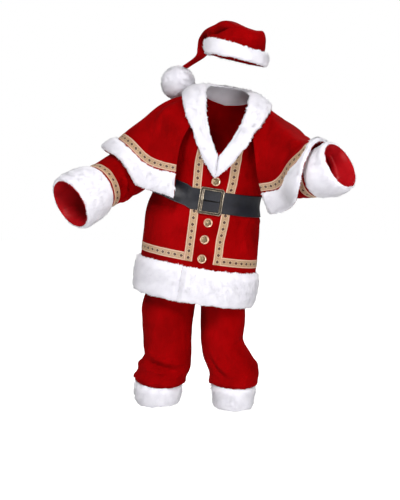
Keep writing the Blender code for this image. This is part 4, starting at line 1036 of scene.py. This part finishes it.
for side, word in SIDES.items():
    order = slice(None, None, -side)
    psi, ts = np.linspace(0, 360, 73), np.linspace(0, CUFF_T, 64)
    u, t = grid(psi, ts)
    base = slim(side, u, t)
    p = lift(base, closed_normals(base) * -side, fold_lines(lambda a, b: sleeve(side, a, b), SLEEVE_FOLDS[side]),
             0.0012, 0.11, side)
    set_in = ease(t, 0, 0.03)[..., None]
    body = Cloth(psi, ts, p * set_in + base * (1 - set_in), wrap=True)
    body.n = body.n * -side
    velvet_piece("sleeve_" + word, body.p[:-1][order], body.n[:-1][order], wrap_u=True, seam_v=(1, 0))
    t, a = np.meshgrid(between(SLEEVE_BRAID, ACROSS), np.linspace(0, 360, 181)[order])
    braid_piece("sleeve_braid_" + word, *body.at(a, t))

    ts = np.linspace(CUFF_T, 1.0, 26)
    u, t = grid(psi, ts)
    cuff = Cloth(psi, ts, slim(side, u, t), wrap=True)
    cuff.n = cuff.n * -side
    a = np.radians(u)
    # the satin lies in loose waves
    wave = 0.0035 * (0.5 + 0.5 * np.sin(6 * a + 5 * t + side)) + 0.002 * (0.5 + 0.5 * np.sin(11 * a - 9 * t))
    inner = cuff.p - cuff.n * (wave * (1 - ease(t, 0.93, 1.0)))[..., None]
    cloth_piece("cuff_lining_%s_satin" % word, "cuff_lining_" + word, inner[:-1][order], cuff.n[:-1][order], LINING,
                satin, "satin", wrap_u=True)
    q = over_band(13)
    t, a = np.meshgrid(between(CUFF_FUR, q), np.linspace(0, 360, 121)[:-1][order])
    fur_piece("cuff_fur_%s_plush" % word, "cuff_fur_" + word, *cuff.at(a, t), q, thick=0.020,
              ends=1 - 0.35 * (side > 0) * below(a[:, 0]), wrap=True, long=0.0105, seed=20 + side)

# ---- cape
CAPE_FOLDS = [
    (-4.5, 11, 2.01, 0.395, 1.47, 0.471, 1.38, 0.58), (3.4, 13, 3.46, 0.529, 2.59, 0.571, 2.43, 0.63),
    (4, 10, 1.56, 0.319, 0.84, 0.437, 0.57, 0.58), (-3.4, 10, 0.57, 0.378, 0.3, 0.46, 0.12, 0.555),
    (-3, 10, 3.25, 0.605, 3.01, 0.664), (7, 11, 9.53, 0.697, 11.39, 0.706, 12.63, 0.672, 13.32, 0.664),
    (-6, 9, 14.43, 0.429, 14.72, 0.513, 14.82, 0.588), (-3.4, 10, 12.96, 0.496, 13.77, 0.538, 14.19, 0.588),
    (-11, 13, 11.5, 0.715, 12.1, 0.690, 12.9, 0.675, 13.6, 0.680), (5.5, 14, 10.6, 0.60, 12.4, 0.560, 13.6, 0.575),
    (-6, 14, 11.2, 0.40, 12.6, 0.42, 13.9, 0.47),
    # over the back, falling from the shoulders
    (4.5, 16, 4.6, 0.40, 4.7, 0.60, 4.7, 0.80), (-4.5, 16, 5.4, 0.40, 5.5, 0.60, 5.6, 0.85),
    (4.5, 18, 6.2, 0.38, 6.3, 0.60, 6.4, 0.85), (-4.5, 18, 7.0, 0.42, 7.0, 0.62, 7.1, 0.88),
    (4.2, 18, 7.7, 0.40, 7.7, 0.62, 7.7, 0.88), (-4.5, 18, 8.4, 0.42, 8.4, 0.62, 8.3, 0.88),
    (4.2, 16, 9.0, 0.38, 9.0, 0.60, 9.0, 0.80)]
CAPE_FINE = 12          # rows of the grid for each rib
ws, ss = np.linspace(0, CAPE_N, CAPE_FINE * CAPE_N + 1), np.linspace(0, 1, 48)
base = cape(*grid(ws, ss))
for _ in range(6):          # no sharp crease where it leaves the shoulder
    base[1:-1] = 0.25 * base[:-2] + 0.5 * base[1:-1] + 0.25 * base[2:]
    base[:, 1:-1] = 0.25 * base[:, :-2] + 0.5 * base[:, 1:-1] + 0.25 * base[:, 2:]
cape_cloth = Cloth(ws, ss, lift(base, rows_of(base), fold_lines(cape, CAPE_FOLDS), 0.0010, 0.14, 2.0))
for word, w0, w1 in (("right", 0, 6), ("back", 6, 10), ("left", 10, CAPE_N)):
    part = slice(w0 * CAPE_FINE, w1 * CAPE_FINE + 1)
    velvet_piece("cape_" + word, cape_cloth.p[part], cape_cloth.n[part], seam_u=(w0 > 0, w1 < CAPE_N),
                 seam_v=(1, 0))
w, s = grid(np.linspace(0.01, CAPE_N - 0.01, 420), between(CAPE_TRIM, ACROSS))
braid_piece("cape_braid", *cape_cloth.at(w, s))
q = over_band(12)
w, s = grid(np.linspace(0.02, CAPE_N - 0.02, 330), between(CAPE_FUR, q))
thin = 1 - 0.25 * np.exp(-((w[:, 0] - 12.3) / 0.9) ** 2)        # pressed flat beside the left arm
fur_piece("cape_edge_fur", "cape_fur", *cape_cloth.at(w, s), q, ends=blunt(330) * thin, seed=31)


# ---- collar
def over_cape(p, gap):
    cp, cn = cape_cloth.p[::2].reshape(-1, 3), cape_cloth.n[::2].reshape(-1, 3)
    for _ in range(2):
        d = p[..., None, :] - cp
        i = np.argmin((d**2).sum(-1), axis=-1)
        off = np.take_along_axis(d, i[..., None, None], -2)[..., 0, :]
        h = (off * cn[i]).sum(-1)
        side = np.linalg.norm(off - h[..., None] * cn[i], axis=-1)
        push = np.maximum(gap - h, 0) * (1 - ease(side, 0.012, 0.035)) * (h > -0.05)
        p = p + cn[i] * push[..., None]
    return p


ks = np.concatenate([[-0.9999, -0.985], np.linspace(-0.93, 0.93, 31), [0.985, 0.9999]])
qs = np.array([0, 0.07, 0.18, 0.30, 0.5, 0.70, 0.82, 0.93, 1.0])
coarse = over_cape(collar(*grid(ks, qs)), 0.008)
LONG = 200
q = over_band(15)
mid = curve(np.linspace(ks[0], ks[-1], LONG), ks, coarse.reshape(len(ks), -1)).reshape(LONG, len(qs), 3)
p = curve(q, qs, mid.transpose(1, 0, 2).reshape(len(qs), -1)).reshape(len(q), LONG, 3).transpose(1, 0, 2)
n = -rows_of(p)
keep = np.minimum(from_ends(LONG) / 3.0, 1.0)[:, None, None]        # the ends meet flat in the middle
n = unit(n - (1 - keep) * (n @ TX)[..., None] * TX)
fur_piece("collar_plush", "collar_fur", p[::-1], n[::-1], q, thick=0.018, ends=blunt(LONG), lay=-1.0, seed=41,
          under=0.0, inside=(30, 170))

# ---- trousers
TROUSER_FOLDS = {
    -1: [(11.5, 9.5, 0.12, -0.950, 0.34, -0.982, 0.49, -0.998, 0.62, -1.008, 0.78, -1.010),
         (-12, 8, 0.04, -0.985, 0.26, -1.002, 0.42, -1.014, 0.58, -1.026, 0.74, -1.030),
         (9.5, 8.5, 0.06, -1.020, 0.30, -1.032, 0.48, -1.042, 0.66, -1.048),
         (-4.5, 13, 0.83, -0.830, 0.82, -0.897, 0.80, -0.964), (3.6, 15, 0.38, -0.823, 0.33, -0.890, 0.25, -0.954),
         (-3.6, 10, 0.50, -1.050, 0.64, -1.048, 0.78, -1.048), (10, 15, 0.10, -1.020, 0.0, -1.022, 1.90, -1.020),
         (-6, 11, 0.10, -0.975, 0.0, -0.978, 1.88, -0.985), (-7, 11, 1.15, -0.965, 1.40, -0.950, 1.65, -0.940),
         (6, 11, 1.12, -1.000, 1.40, -0.985, 1.70, -0.980), (-5.5, 11, 1.25, -1.030, 1.50, -1.020, 1.75, -1.030),
         (-4.5, 16, 1.30, -0.660, 1.40, -0.720, 1.45, -0.800), (4, 18, 1.60, -0.640, 1.62, -0.740, 1.58, -0.840),
         (4, 14, 0.55, -0.800, 0.60, -0.880, 0.62, -0.950)],
    1: [(-9.5, 9, 0.80, -0.975, 0.75, -1.015, 0.69, -1.047, 0.59, -1.068),
        (9.5, 9, 0.72, -0.960, 0.66, -1.005, 0.60, -1.037, 0.50, -1.060),
        (4, 13, 0.46, -0.940, 0.44, -0.987, 0.37, -1.021), (-4.2, 11, 0.54, -0.957, 0.51, -1.004, 0.45, -1.044),
        (4.5, 7, 0.34, -1.045, 0.36, -1.080), (-6, 12, 0.02, -0.915, 0.16, -0.918, 0.30, -0.937, 0.45, -0.950),
        (7, 18, 0.15, -1.020, 0.0, -1.025, 1.88, -1.020), (-7, 11, 1.20, -0.930, 1.45, -0.945, 1.75, -0.950),
        (6, 11, 1.25, -0.970, 1.50, -0.982, 1.78, -0.990), (-5.5, 11, 1.30, -1.015, 1.55, -1.022, 1.80, -1.030),
        (-4.5, 16, 1.30, -0.660, 1.40, -0.720, 1.45, -0.800), (4, 18, 1.60, -0.640, 1.62, -0.740, 1.58, -0.840),
        (-3.5, 14, 0.62, -0.740, 0.66, -0.820, 0.68, -0.900)]}


ANKLE_Z, ANKLE_TOP = -1.083, -1.100         # where the cloth is tucked in, and the fur's upper edge
TR_HIDDEN = -1.178                          # inside the fur the cloth ends here
ANKLE_FOOT = {-1: -1.185, 1: -1.201}


def slant(side, u):
    """How far the ankle fur's upper edge lies above or below its mean height."""
    c, s = np.cos(pi * u), np.maximum(np.sin(pi * u), 0)
    return 0.002 + 0.010 * c - 0.008 * s if side < 0 else -0.009 - 0.006 * c


def blouse(side, u, z):
    """The trousers' fullness above the ankle fur, in uneven scallops and a knob, then tucked into it."""
    scallop = 0.5 + 0.5 * np.sin(2 * pi * (5 * u + 0.15 * side)) * np.cos(2 * pi * (2 * u + 0.4 * side))
    low = z - ANKLE_Z - slant(side, u)
    beside = np.mod(u - 0.5 - 0.5 * side + 1.04, 2) - 1
    knob = 0.009 * np.exp(-(beside / 0.035) ** 2 - ((low + 0.011) / 0.006) ** 2)
    round_in = (side > 0) * ((1 + np.cos(pi * u)) / 2) ** 3
    return ((0.0045 + 0.0045 * scallop) * (1 - 0.7 * round_in) * np.exp(-(low / 0.013) ** 2) + knob
            - 0.011 * ease(-low, 0.002, 0.022) - 0.007 * round_in * ease(-low, -0.045, 0.0))


zs = np.linspace(TR_Z[0], WAIST_Z, 102)
low, seen = zs < -1.02, zs > TR_HIDDEN          # the rows under the ankle fur, and the ones that are made
for side, word in SIDES.items():
    order = slice(None, None, -side)
    us = [np.append(k + k * 1e-6, k + np.linspace(0, 1, 41)[1:]) for k in (0.0, 1.0)]
    parts = []
    for part, row in zip(("front", "back"), us):
        u, z = grid(row, zs)
        base = trousers(side, u, z)
        n = rows_of(base) * -side
        lines = fold_lines(lambda a, b: trousers(side, a, b), TROUSER_FOLDS[side])
        p = lift(base, n, lines, 0.0010, 0.13, side) + n * blouse(side, u, z)[..., None]
        parts.append((p, n))
        velvet_piece("trousers_%s_%s" % (part, word), p[order][:, seen], n[order][:, seen], LIGHT_WALL, seam_u=(1, 1))
    p, n = (np.concatenate([front, back[1:]])[:, low] for front, back in zip(*parts))
    leg = Cloth(np.concatenate([us[0], us[1][1:]]), zs[low], p)
    leg.n = n
    q = over_band(11)
    q2, u = np.meshgrid(q, np.linspace(0, 2, 109)[:-1])
    z = between((ANKLE_FOOT[side], ANKLE_TOP + slant(side, u)), q2)
    fur_piece("ankle_fur_%s_plush" % word, "ankle_fur_" + word, *leg.at(u[order], z), q, thick=0.015, wrap=True,
              lay=-1.0, seed=50 + side)

# ---- hat
HAT_FOLDS = [
    (-28, 8.5, 238, 2.15, 256, 2.95, 276, 3.42, 304, 3.90), (11, 10, 234, 2.85, 252, 3.65, 280, 4.15, 308, 4.6),
    (5, 9, 222, 5.515, 258, 4.412, 286, 4.68, 302, 4.379, 310, 3.777), (3.8, 7, 296, 2.006, 312, 2.273, 326, 2.607),
    (-3.8, 7, 356, 3.209, 2, 2.641, 8, 2.106), (3.4, 7, 330, 3.209, 340, 2.641, 346, 1.972),
    (-3.4, 6, 314, 3.209, 324, 2.808, 334, 2.273), (-5, 9, 40, 3.3, 60, 2.7, 75, 2.1),
    (4.5, 10, 70, 3.6, 90, 2.9, 105, 2.2), (-5, 10, 110, 3.5, 125, 2.8, 135, 2.1),
    (4, 10, 150, 3.8, 160, 3.0, 165, 2.2), (-4.5, 9, 190, 3.4, 195, 2.8, 198, 2.2)]
hs, vs = np.linspace(0, 360, 73), np.concatenate([np.linspace(0, 2, 16), np.linspace(2, HAT_N, 71)[1:]])
base = hat(*grid(hs, vs))
base[-1] = base[0]
p = lift(base, closed_normals(base), fold_lines(hat, HAT_FOLDS), 0.0010, 0.10, 4.0)
p[-1] = p[0]
crown = Cloth(hs, vs, p, wrap=True)
velvet_piece("hat_crown", p[:-1], crown.n[:-1], LIGHT_WALL, wrap_u=True)
q = over_band(10)
v, a = np.meshgrid(q, np.linspace(0, 360, 121)[:-1])
arch = 0.46 * np.exp(-((a - 262) / 46) ** 2)           # its upper edge is higher at the front right
fur_piece("hat_band_plush", "hat_band", *crown.at(a, v * (HAT_RIM + arch)), q, thick=0.018, wrap=True, seed=61)

# pompom
TUFTS = 4200
rng = np.random.default_rng(71)
bm = bmesh.new()
bmesh.ops.create_icosphere(bm, subdivisions=4, radius=POM_R - 0.0045)
ball = np.array([vert.co[:] for vert in bm.verts])
faces = np.array([[vert.index for vert in f.verts] for f in bm.faces])
bm.free()
ball = POM + ball * (1 + 0.022 * sway(ball, 0.06) + 0.014 * sway(ball, 0.028, 2.0))[:, None]
k = np.arange(TUFTS) + 0.5
th, ph = np.arccos(1 - 2 * k / TUFTS), pi * (1 + 5**0.5) * k
out = np.stack([np.cos(ph) * np.sin(th), np.sin(ph) * np.sin(th), np.cos(th)], -1)
root = POM + out * (POM_R - 0.0075)
turn = unit(wander3(root, (1, 2, 3)) + [0, 0, -0.5])
tv, tt, tq, ts = tufts(root, out, along_surface(turn, out), 0.0135, rng, stand=0.45)
pom = make_mesh("hat_pompom_plush", np.concatenate([ball, tv]), np.concatenate([faces, tt + len(ball)]),
                tq + len(ball), fur, soft=np.concatenate([np.zeros_like(ball), ts]))
piece(pom, "hat_pompom")

# ---- belt, buckle, prong and buttons
BELT_LO = SKIN + BRAID + SKIN
BELT_T = 0.0032
low, high = BELT_SPAN
border = np.array([0, 0.0010, 0.0035, 0.0050, 0.0065])          # rows at its edge, for the pressed line
zb = np.concatenate([low + border, np.linspace(low + 0.010, high - 0.010, 9), (high - border)[::-1]])
c, z = grid(np.linspace(0, right_c(LAP_DROP, BELT_Z), 260), zb)
# it rides up at the right side, under the cape
ride = 0.030 * np.exp(-((c - 2.30) / 0.46) ** 2) + 0.013 * np.exp(-((c - 1.98) / 0.17) ** 2)
p, n = ring.at(c, coat_v(z + ride))
close = np.linspace(0, 1, 6)[1:-1, None, None]
p = np.concatenate([p, p[-1][None] * (1 - close) + p[0][None] * close])
n = np.concatenate([n, unit(n[-1][None] * (1 - close) + n[0][None] * close)])
edge = np.minimum(zb - low, high - zb)
rise = BELT_T * (0.55 + 0.45 * ease(edge, 0, 0.0022)) - 0.0006 * np.exp(-((edge - 0.0055) / 0.0012) ** 2)
belt = solid("belt_strap_leather", p + n * (BELT_LO + rise)[:, None], p + n * BELT_LO, leather, 60, wrap_u=True)
piece(belt, "belt_strap")


def second_material(obj, mat, faces):
    """Gives these slices of the object's faces another material."""
    obj.data.materials.append(mat)
    which = np.zeros(len(obj.data.polygons), np.int32)
    for part in faces:
        which[part] = 1
    obj.data.polygons.foreach_set("material_index", which)


def on_belt(name, x, z, rise, mat, hard=50, **wraps):
    """Body on the belt over a grid of places, x and z from the belt's middle; rise is its height above the strap."""
    p, n = coat_face(x, BELT_Z + z)
    return solid(name, p + n * (BUCKLE_LO + rise)[..., None], p + n * BUCKLE_LO, mat, hard, **wraps)


def rounded(w, h, r, steps=6):
    """Rectangle with round corners, and a point in the middle of each side."""
    pts = []
    for cx, cz, start, mx, mz in ((1, 1, 0, 0, 1), (-1, 1, 90, -1, 0), (-1, -1, 180, 0, -1), (1, -1, 270, 1, 0)):
        for i in range(steps + 1):
            a = radians(start + 90 * i / steps)
            pts.append((cx * (w / 2 - r) + r * np.cos(a), cz * (h / 2 - r) + r * np.sin(a)))
        pts.append((mx * w / 2, mz * h / 2))
    return np.array(pts)


BUCKLE_LO = BELT_LO + BELT_T + 0.0006
outer, inner = rounded(0.092, 0.106, 0.010), rounded(0.070, 0.084, 0.004)
ts = np.linspace(0, 1, 17)
loops = between((outer, inner), ts[:, None, None])
rim = np.exp(-((ts - 0.10) / 0.07) ** 2) + np.exp(-((ts - 0.90) / 0.07) ** 2)
tall = 0.0026 + 0.0016 * rim + 0.0006 * np.exp(-((ts - 0.5) / 0.22) ** 2)
tall[0] = tall[-1] = 0.0014
buckle = on_belt("buckle_frame_brass", loops[..., 0], loops[..., 1], tall[:, None], brass, 40, wrap_v=True)
second_material(buckle, painted_dark_face, [slice(4 * len(outer), 12 * len(outer))])        # a darker face, painted so that the brass rims read as bright highlights
piece(buckle, "buckle_frame")
x, z = grid(np.linspace(-0.0335, -0.0290, 7), np.linspace(-0.0425, 0.0425, 24))
rise = 0.0010 + 0.0026 * np.sqrt(np.maximum(1 - ((x + 0.03125) / 0.00226) ** 2, 0.02))
piece(on_belt("buckle_centre_bar", x, z, rise, brass))
x, h = grid(np.linspace(-0.0300, 0.0345, 30), np.linspace(-1, 1, 9))
rise = 0.0006 + 0.0016 * np.sqrt(np.maximum(1 - h**2, 0)) + 0.0020 * ease(x, 0.026, 0.034)
prong = on_belt("buckle_prong_dark", x, h * (0.0034 - 0.0012 * (x + 0.0300) / 0.0645), rise, prong_near_black_metal)
piece(prong, "buckle_prong")

# buttons: radius and height of each ring; six curled petals round a boss, and a milled rim
BUTTON = [(0.0155, 0.0), (0.0170, 0.0010), (0.0175, 0.0026), (0.0170, 0.0042), (0.0160, 0.0050),
          (0.0148, 0.0050), (0.0138, 0.0044), (0.0128, 0.0036), (0.0118, 0.0036), (0.0104, 0.0046),
          (0.0086, 0.0058), (0.0064, 0.0068), (0.0040, 0.0074), (0.0018, 0.0077)]
# x and z of each, and how deep it is pulled in
BUTTONS = [(0.007, -0.281, 0), (0.003, -0.444, 0.0009), (0.000, -0.510, 0), (0.002, -0.586, 0)]
SEG = 64
angles = np.arange(SEG) * 2 * pi / SEG
j, k = np.arange(SEG), (np.arange(SEG) + 1) % SEG
rings = np.arange(len(BUTTON) - 1)[:, None] * SEG + 1
quads = np.stack([rings + j, rings + k, rings + SEG + k, rings + SEG + j], -1).reshape(-1, 4)
end = 1 + (len(BUTTON) - 1) * SEG
tris = np.concatenate([np.stack([0 * j, 1 + k, 1 + j], -1), np.stack([end + j, end + k, 0 * j + end + SEG], -1)])
for i, (x, z, seat) in enumerate(BUTTONS):
    c, ax = coat_face(np.array(x), np.array(z))
    c = c + ax * (SKIN - seat)
    e1 = unit(np.cross(ax, TZ))
    e2 = np.cross(e1, ax)
    verts = [c]
    for r, height in BUTTON:
        relief = 0 * angles
        if r < 0.0120:
            relief = 0.0009 * np.cos(6 * angles + 220 * r) * np.exp(-((r - 0.0080) / 0.003) ** 2)
        elif r > 0.0145 and height > 0.0030:
            relief = 0.0002 * np.cos(32 * angles)
        spoke = e1 * np.cos(angles)[:, None] + e2 * np.sin(angles)[:, None]
        verts.extend(c + ax * height + spoke * r + ax * relief[:, None])
    verts.append(c + ax * 0.0078)
    button = make_mesh("button_%d_gilt" % (i + 1), verts, tris, quads, gilt, hard=40)
    second_material(button, dull, [slice(SEG, 2 * SEG), slice(9 * SEG, None)])
    piece(button, "button_%d" % (i + 1))

# ---- stage, light and camera
FLOOR_Z = -1.47


def seen_and_lit(tree, seen, lit):
    """One strength to the camera and another as a lamp, so that the background is white and shadows stay."""
    camera = add(tree, "ShaderNodeLightPath").outputs["Is Camera Ray"]
    return maths(tree, "ADD", maths(tree, "MULTIPLY", camera, seen - lit), lit)


def lamp(name, place, size, power, way):
    light = bpy.data.lights.new(name, "AREA")
    light.size, light.energy = size, power
    obj = bpy.data.objects.new(name, light)
    obj.location = place
    obj.rotation_euler = Vector(way).to_track_quat("-Z", "Y").to_euler()
    bpy.context.scene.collection.objects.link(obj)
    return obj


floor_mat, tree, bsdf = shader("pale_floor", (0.80, 0.80, 0.80), 0.9, Emission_Color=(1.0, 1.0, 1.0))
put(tree, seen_and_lit(tree, 0.85, 0.0), bsdf.inputs["Emission Strength"])
corners = np.array([[-9, -7, FLOOR_Z], [9, -7, FLOOR_Z], [9, 9, FLOOR_Z], [-9, 9, FLOOR_Z]])
floor = make_mesh("studio_floor", corners, [], [[0, 1, 2, 3]], floor_mat)

scene = bpy.context.scene
scene.world = bpy.data.worlds.new("studio")
scene.world.use_nodes = True
tree = scene.world.node_tree
dome_light = tree.nodes["Background"]
put(tree, (1.0, 1.0, 1.0), dome_light.inputs["Color"])
put(tree, seen_and_lit(tree, 1.0, 0.26), dome_light.inputs["Strength"])
AIM = np.array([-0.1, 0.0, -0.5])
for name, place, size, power in (("key", (-1.0, -4.1, 3.4), 1.6, 200), ("fill", (2.6, -3.6, 1.6), 1.8, 62),
                                 ("back", (0.5, 3.5, 2.6), 2.0, 60), ("low", (1.0, -3.8, -1.0), 1.2, 36)):
    lamp(name, place, size, power, AIM - place)
# a low lamp at the camera's left that only shines on gloss, for the belt
lamp("gleam", (-3.3, -2.3, -0.7), 1.6, 150, (3.2, 2.2, 0.35)).visible_diffuse = False

cam = bpy.data.objects.new("camera", bpy.data.cameras.new("camera"))
cam.data.lens = 90.57
cam.data.sensor_width = 36
cam.location = (-0.10, -5.0, 0.0)
cam.rotation_euler = Vector((0.0, 5.0, -0.56)).to_track_quat("-Z", "Y").to_euler()
scene.collection.objects.link(cam)
scene.camera = cam
scene.view_settings.view_transform = "Standard"
scene.view_settings.look = "None"
